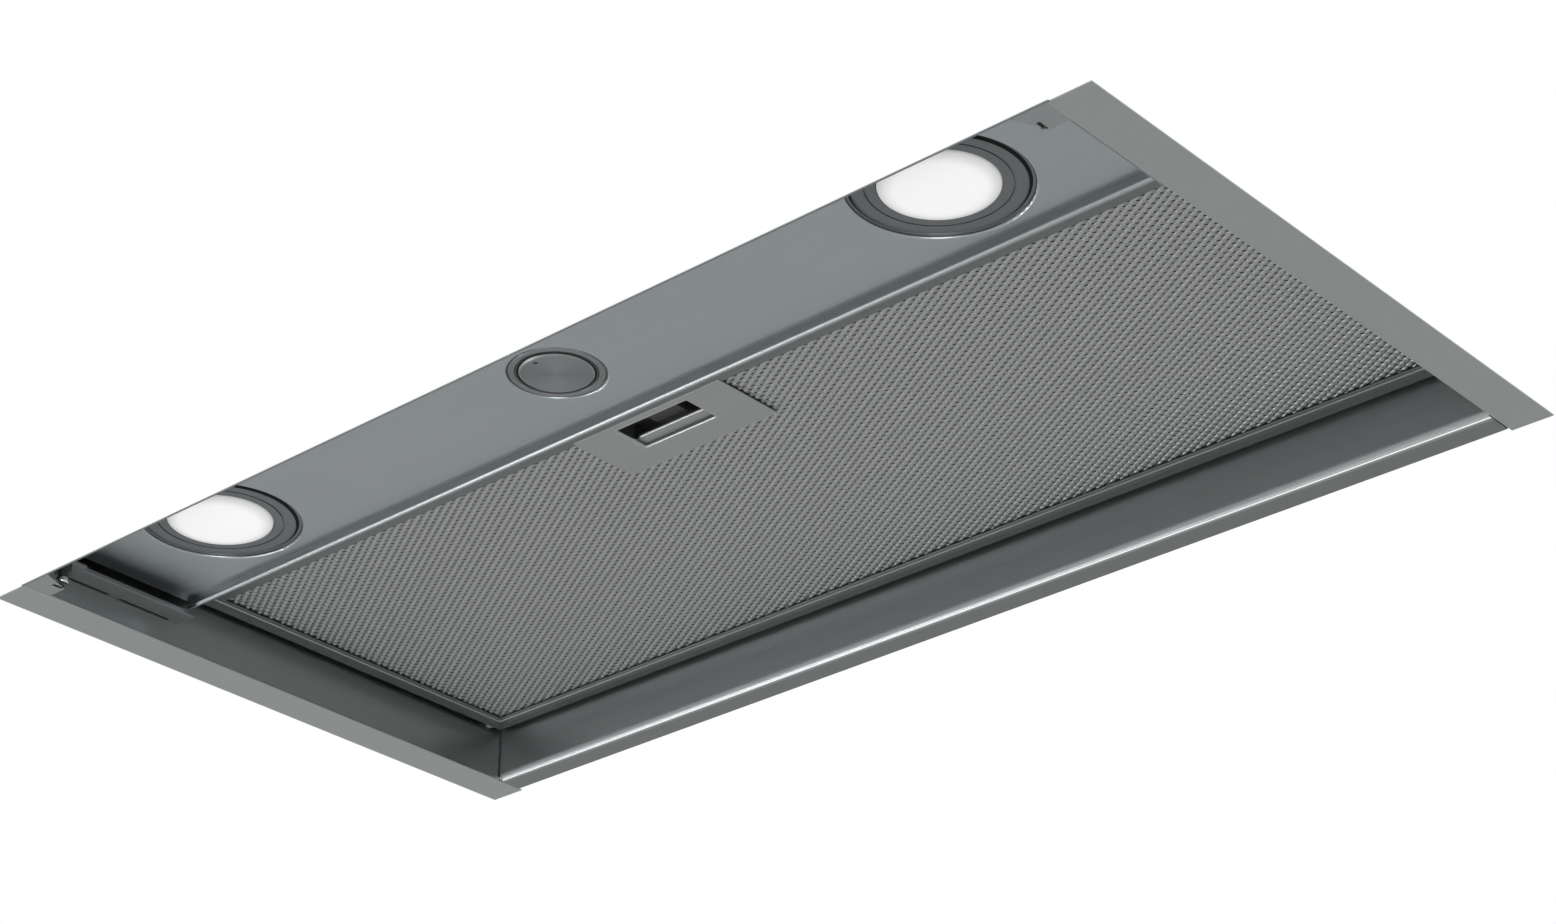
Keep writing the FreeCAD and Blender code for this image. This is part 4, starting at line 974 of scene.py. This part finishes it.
def pan_head(head_radius, head_height, shank_radius, shank_length):
    profile = [(shank_radius, -shank_length), (shank_radius, 0.0)]
    profile += [(share * head_radius, rise * head_height) for share, rise in PAN_PROFILE]
    head = turned((0.0, 0.0), [(round_at(radius), height) for radius, height in profile], 32, closed=False)
    long, short = CROSS_REACH * head_radius, CROSS_HALF_WIDTH * head_radius
    cross = [(long, -short), (long, short), (short, short), (short, long), (-short, long), (-short, short)]
    cross += [(-x, -y) for x, y in cross]
    above = 1.5 * head_height
    return carved(head, upright(cross, CROSS_FLOOR * head_height, above))


HEAD_RADIUS = 3.3 * MM
HEAD_HEIGHT = 1.8 * MM
SHANK_RADIUS = 1.9 * MM


def screws(name, node, turns):
    """Screws at the four corners of a CAD node's box."""
    low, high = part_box(node)
    seat = high[2] - HEAD_HEIGHT
    head = pan_head(HEAD_RADIUS, HEAD_HEIGHT, SHANK_RADIUS, seat - low[2])
    parts = []
    for number, turn in enumerate(turns):
        x = (low[0] + HEAD_RADIUS, high[0] - HEAD_RADIUS)[number % 2]
        y = (low[1] + HEAD_RADIUS, high[1] - HEAD_RADIUS)[number // 2]
        spin = Quaternion((0.0, 0.0, 1.0), math.radians(turn))
        parts.append(moved(([tuple(spin @ Vector(vertex)) for vertex in head[0]], head[1]), x, y, seat))
    item = piece(name, gathered(parts), bright_metal, "hood")
    smooth(item)
    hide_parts(node)


screws("shell_pan_heads", "shell_screws", (12, 71, 38, 55))
screws("collar_pan_heads", "collar_screws", (25, 80, 5, 47))


# Cable gland: hexagon, then a ribbed dome nut round a rubber bore
def hexagon_at(radius):
    """A hexagon whose corners are at the radius."""
    sixth = math.pi / 3
    return lambda angle: radius * math.cos(sixth / 2) / math.cos(angle % sixth - sixth / 2)


def ribbed_at(radius, depth, count):
    return lambda angle: radius - depth * (0.5 - 0.5 * math.cos(count * angle))


def gland():
    low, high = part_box("cable_gland")
    foot, top = low[2], high[2]
    lid_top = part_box("junction_lid")[1][2]
    lid_low = lid_top - 3.2 * MM
    reach = half_width("cable_gland")
    bore, thread = 4.6 * MM, 7.9 * MM
    rib_depth, rib_count = 0.7 * MM, 18
    rows = [
        (round_at(bore), foot),
        (round_at(0.93 * reach), foot),
        (round_at(0.93 * reach), lid_low),
        (round_at(thread), lid_low),
        (round_at(thread), lid_top),
        (hexagon_at(0.98 * reach), lid_top),
        (hexagon_at(0.98 * reach), lid_top + 4.6 * MM),
        (hexagon_at(0.92 * reach), lid_top + 5 * MM),
        (round_at(0.8 * reach), lid_top + 5.2 * MM),
        (ribbed_at(0.86 * reach, rib_depth, rib_count), lid_top + 5.6 * MM),
        (ribbed_at(0.82 * reach, rib_depth, rib_count), top - 3.4 * MM),
        (round_at(0.7 * reach), top - 1.2 * MM),
        (round_at(0.58 * reach), top),
        (round_at(1.12 * bore), top),
        (round_at(bore), top - 0.6 * MM),
    ]
    nut = turned(centre_of("cable_gland"), rows, 144)
    item = piece("gland_nut", nut, black_plastic, "hood")
    smooth(item)
    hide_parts("cable_gland")


gland()


# Junction box: small screws and a raised rim on the lid
UP = (0.0, 0.0, 1.0)
LID_RIB = (1.2 * MM, 0.8 * MM)


def lid_dress():
    low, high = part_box("junction_lid")
    top = high[2]
    screw_inset, rim_inset = 7 * MM, 14 * MM
    head = pan_head(2.6 * MM, 1.3 * MM, 1.2 * MM, 1.5 * MM)
    heads = [moved(head, x, y, top) for x in (low[0] + screw_inset, high[0] - screw_inset)
             for y in (low[1] + screw_inset, high[1] - screw_inset)]
    smooth(piece("lid_screws", gathered(heads), bright_metal, "hood"))
    left, right = low[0] + rim_inset, high[0] - rim_inset
    front, rear = low[1] + rim_inset, high[1] - rim_inset
    corners = [(left, front, top), (right, front, top), (right, rear, top), (left, rear, top)]
    ribs = [rib(corners[i], corners[(i + 1) % 4], UP, *LID_RIB) for i in range(4)]
    smooth(piece("lid_ribs", gathered(ribs), grey_plastic, "hood"), 50)


lid_dress()


# Sheet metal of the blower box and the roof: pressed ribs, spot welds, and a rolled bead on the collar
# Half width and height of a rib, radius and height of a weld
SHELL_RIB = (5 * MM, 1.4 * MM)
ROOF_RIB = (6 * MM, 1.6 * MM)
WELD = (2.4 * MM, 0.35 * MM)
SHELL_RIB_INSET = 30 * MM


def spaced(begin, end, steps):
    """Evenly spaced values, with begin and end among them."""
    return [begin + number / steps * (end - begin) for number in range(steps + 1)]


def plate_dress(face, normal, low, high):
    """Ribs and welds on the front or the back plate of the blower box."""
    rib_inset, edge = 45 * MM, 7 * MM
    left, right, foot, top = low[0], high[0], low[2], high[2]
    ribs = []
    for share in (0.28, 0.72):
        height = foot + share * (top - foot)
        begin, end = (left + rib_inset, face, height), (right - rib_inset, face, height)
        ribs.append(rib(begin, end, normal, *SHELL_RIB))
    sides, ends = (left + edge, right - edge), (foot + edge, top - edge)
    spots = [(x, z) for x in spaced(*sides, 8) for z in ends]
    spots += [(x, z) for z in spaced(*ends, 5)[1:-1] for x in sides]
    return ribs, [dimple((x, face, z), normal, *WELD) for x, z in spots]


def shell_dress():
    """Ribs and welds of the blower box."""
    low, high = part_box("blower_front_plate")
    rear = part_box("blower_back_plate")[1][1]
    foot, top = low[2], high[2]
    ribs, welds = [], []
    for face, outward in ((low[1], -1.0), (rear, 1.0)):
        more_ribs, more_welds = plate_dress(face, (0.0, outward, 0.0), low, high)
        ribs += more_ribs
        welds += more_welds
    begin, end = high[1] + SHELL_RIB_INSET, rear - SHELL_RIB_INSET
    for side in (low[0], high[0]):
        normal = (math.copysign(1.0, side), 0.0, 0.0)
        for height in (foot + 55 * MM, top - 45 * MM):
            ribs.append(rib((side, begin, height), (side, end, height), normal, *SHELL_RIB))
    for x in (-118 * MM, 118 * MM):
        ribs.append(rib((x, begin, top), (x, end, top), UP, *SHELL_RIB))
    return ribs, welds


def roof_dress():
    """Ribs and welds of the roof, clear of the blower box and of the junction box at the right."""
    low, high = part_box("roof_panel")
    shell_low, shell_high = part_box("blower_front_plate")
    begin, top = low[1] + 40 * MM, high[2]
    full_end, short_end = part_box("blower_back_plate")[1][1] - SHELL_RIB_INSET, -20 * MM
    ribs = []
    for x in (-240 * MM, -200 * MM, 200 * MM, 240 * MM):
        end = short_end if x > 0 else full_end
        ribs.append(rib((x, begin, top), (x, end, top), UP, *ROOF_RIB))
    side_inset, edge, clear = 14 * MM, 9 * MM, 20 * MM
    spots = [(x, y) for x in spaced(low[0] + side_inset, high[0] - side_inset, 11)
             for y in (low[1] + edge, high[1] - edge) if abs(x) > shell_high[0] + clear or y < shell_low[1]]
    return ribs, [dimple((x, y, top), UP, *WELD) for x, y in spots]


# A bead's outline: radius, and rise from the bead's middle, in mm
COLLAR_BEAD = [(74.3, -1.6), (74.7, -1.0), (74.92, 0.0), (74.7, 1.0), (74.3, 1.6)]


def collar_beads():
    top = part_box("outlet_collar")[1][2]
    for name, drop in (("collar_bead_upper", 7 * MM), ("collar_bead_lower", 16 * MM)):
        rows = [(round_at(radius * MM), top - drop + rise * MM) for radius, rise in COLLAR_BEAD]
        bead = turned(centre_of("outlet_collar"), rows, 96)
        smooth(piece(name, bead, grey_plastic, "hood"), 60)


shell_ribs, shell_welds = shell_dress()
roof_ribs, roof_welds = roof_dress()
smooth(piece("roof_ribs", gathered(roof_ribs), panel_steel, "hood"), 50)
smooth(piece("pressed_ribs", gathered(shell_ribs), zinc_sheet, "hood"), 50)
smooth(piece("spot_welds", gathered(shell_welds + roof_welds), weld_grey, "hood"), 50)
collar_beads()


# Non-return flaps: stiffening ribs on the upper faces
FLAP_RIB = (1.6 * MM, 1.0 * MM)
# How far the flap's upper face is below the top of its hinge
FLAP_FACE_DROP = 3.39 * MM
FLAP_RIB_BEGIN = 14 * MM
# Each rib's place along the hinge and where it ends, from the hinge
FLAP_RIB_ENDS = ((-30 * MM, 58 * MM), (0.0, 66 * MM), (30 * MM, 58 * MM))


def flap_ribs(name, node, body, outward):
    low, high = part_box(node)
    hinge = low[1] if outward > 0 else high[1]
    face = high[2] - FLAP_FACE_DROP
    begin = hinge + outward * FLAP_RIB_BEGIN
    ribs = [rib((x, begin, face), (x, hinge + outward * end, face), UP, *FLAP_RIB)
            for x, end in FLAP_RIB_ENDS]
    smooth(piece(name, gathered(ribs), black_plastic, body), 50)


flap_ribs("flap_ribs_front", "damper_flap_front", "flap_front", -1)
flap_ribs("flap_ribs_back", "damper_flap_back", "flap_back", 1)


# Lamps: lenses with a low crown and a full round rim, and raised lips round the lamp rings with a black slope
# of painted shadow
def lens(name, node):
    low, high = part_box(node)
    radius = half_width(node)
    crown_radius, crown, rim = 0.58 * radius, 0.4 * MM, 2.1 * MM
    crown_steps, rim_steps = 6, 8
    rows = [(round_at(0.02 * radius), low[2])]
    for step in range(1, crown_steps + 1):
        share = step / crown_steps
        rows.append((round_at(share * crown_radius), low[2] + crown * share * share))
    for step in range(1, rim_steps + 1):
        turn = math.pi / 2 * step / rim_steps
        reach = crown_radius + (radius - crown_radius) * math.sin(turn)
        rows.append((round_at(reach), low[2] + crown + rim * (1 - math.cos(turn))))
    rows.append((round_at(radius), high[2]))
    item = piece(name, turned(centre_of(node), rows, 96, closed=False), opal_lens, "hood")
    smooth(item)
    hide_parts(node)


# The lip's outline: radius, and height from the lamp ring's lower face, in mm
LAMP_LIP = [(32.5, 0.05), (32.8, -0.5), (34.05, 0.33), (33.4, 0.36)]
# Which of the outline's points the black slope of painted shadow starts at
LAMP_SHADOW_SLOPE = 1
LAMP_LIP_STEPS = 120


def lamp_lips_and_shadows():
    """A raised lip round each lamp ring, with a black slope towards the hole in the panel that stands in for
    the shadow in the gap: painted shadow.
    """
    rings = []
    for node in ("lamp_bezel_left", "lamp_bezel_right"):
        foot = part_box(node)[0][2]
        rows = [(round_at(reach * MM), foot + up * MM) for reach, up in LAMP_LIP]
        rings.append(turned(centre_of(node), rows, LAMP_LIP_STEPS))
    item = piece("lamp_lips_and_shadows", gathered(rings), lamp_ring, "hood")
    # Painted shadow: the black slope between each lamp ring and its hole
    paint_faces(item, painted_shadow_black,
                lambda face: face.index // LAMP_LIP_STEPS % len(LAMP_LIP) == LAMP_SHADOW_SLOPE)
    smooth(item)


lamp_lips_and_shadows()
lens("lens_dome_left", "lamp_lens_left")
lens("lens_dome_right", "lamp_lens_right")


# Stage: floor far below, a white board level with the flanges, lamps, world and camera
def plane(name, vertices, faces):
    mesh = bpy.data.meshes.new(name)
    mesh.from_pydata(vertices, [], faces)
    item = bpy.data.objects.new(name, mesh)
    scene.collection.objects.link(item)
    return item


def seen_directly(finish):
    """1 where the camera sees the surface itself or in metal or glass, 0 where it lights other things."""
    rays = [finish.add("ShaderNodeLightPath", output=ray)
            for ray in ("Is Camera Ray", "Is Glossy Ray", "Is Transmission Ray")]
    return rays[0].math("MAXIMUM", rays[0].math("MAXIMUM", rays[0], rays[1]), rays[2])


WHITE = (1.0, 1.0, 1.0)
FLOOR_HEIGHT = -1.6
FLOOR_REACH = 40.0
FLOOR_WHITE_BEGIN = 4.5
FLOOR_WHITE_END = 10.0


def square(reach):
    return [(-reach, -reach), (reach, -reach), (reach, reach), (-reach, reach)]


floor = plane("floor", [(x, y, FLOOR_HEIGHT) for x, y in square(FLOOR_REACH)], [(0, 1, 2, 3)])


def pale_floor():
    """A pale floor that turns to white with the distance, and that a view from under it looks through."""
    finish = material("pale_floor", Base_Color=(0.86, 0.86, 0.86), Roughness=0.8)
    far = finish.rise(finish.length(finish.place()), FLOOR_WHITE_BEGIN, FLOOR_WHITE_END)
    glow = finish.add("ShaderNodeEmission", {}, {"Color": WHITE, "Strength": 1.0})
    near = Wire(finish, finish.surface.outputs["BSDF"])
    top = finish.add("ShaderNodeMixShader", {}, {0: far * seen_directly(finish), 1: near, 2: glow})
    behind = finish.add("ShaderNodeNewGeometry", output="Backfacing")
    clear = finish.add("ShaderNodeBsdfTransparent")
    finish.show(finish.add("ShaderNodeMixShader", {}, {0: behind, 1: top, 2: clear}))
    return finish


paint(floor, pale_floor())


def cabinet_board():
    """A white board round the canopy, level with the flanges' tops, that only shows from below."""
    flange, height, reach = 17.8 * MM, 0.5 * MM, 3.0
    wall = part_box("left_side_panel")[0][0] + flange
    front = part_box("front_panel")[0][1]
    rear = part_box("blower_back_plate")[1][1]
    inner = [(wall, front), (-wall, front), (-wall, rear), (wall, rear)]
    vertices = [(x, y, height) for x, y in square(reach) + inner]
    faces = [(i, i + 4, (i + 1) % 4 + 4, (i + 1) % 4) for i in range(4)]
    board = plane("cabinet_board", vertices, faces)
    finish = Finish(bpy.data.materials.new("board_white"))
    finish.tree.nodes.remove(finish.surface)
    glow = finish.add("ShaderNodeEmission", {}, {"Color": WHITE, "Strength": 1.0})
    clear = finish.add("ShaderNodeBsdfTransparent")
    camera_ray = finish.add("ShaderNodeLightPath", output="Is Camera Ray")
    behind = finish.add("ShaderNodeNewGeometry", output="Backfacing")
    finish.show(finish.add("ShaderNodeMixShader", {}, {0: camera_ray * (1 - behind), 1: clear, 2: glow}))
    paint(board, finish)


cabinet_board()


def soft_lamp(name, direction, distance, side, power, aim):
    """A square lamp of a given side, at a distance from the point that it aims at."""
    lamp = bpy.data.lights.new(name, "AREA")
    lamp.shape = "SQUARE"
    lamp.size = side
    lamp.energy = power
    item = bpy.data.objects.new(name, lamp)
    scene.collection.objects.link(item)
    away = Vector(direction).normalized()
    item.location = Vector(aim) + away * distance
    item.rotation_euler = (-away).to_track_quat("-Z", "Y").to_euler()
    item.visible_camera = False


AIM = (0.0, 0.0, 0.05)
AIM_LEFT = (-0.05, 0.0, 0.05)
soft_lamp("low_front_left_lamp", (-0.58, -0.25, -0.76), distance=1.25, side=0.36, power=3.0, aim=AIM_LEFT)
soft_lamp("low_front_right_lamp", (0.6, -0.7, -0.5), distance=2.0, side=0.8, power=13.0, aim=AIM)
soft_lamp("high_front_right_lamp", (0.5, -0.6, 0.75), distance=2.6, side=1.8, power=16.0, aim=AIM)
soft_lamp("high_back_left_lamp", (-0.6, 0.7, 0.7), distance=2.8, side=1.8, power=12.0, aim=AIM)

world = bpy.data.worlds.new("studio")
scene.world = world
surround = Finish(world)
background = surround.tree.nodes["Background"]
AMBIENT = (0.6, 0.6, 0.6)
surround.plug(background.inputs["Color"], surround.mix(seen_directly(surround), AMBIENT, WHITE))
background.inputs["Strength"].default_value = 1.0

CAMERA_PLACE = (0.82963, -0.90905, -0.64252)
CAMERA_DIRECTION = (-0.583025, 0.658421, 0.475987)
CAMERA_ROLL = math.radians(0.1606)
camera_data = bpy.data.cameras.new("camera")
camera_data.sensor_fit = "HORIZONTAL"
camera_data.sensor_width = 36.0
camera_data.lens = 76.94
camera = bpy.data.objects.new("camera", camera_data)
scene.collection.objects.link(camera)
camera.location = CAMERA_PLACE
level = Vector(CAMERA_DIRECTION).to_track_quat("-Z", "Y")
camera.rotation_euler = (level @ Quaternion((0.0, 0.0, 1.0), CAMERA_ROLL)).to_euler()
scene.camera = camera
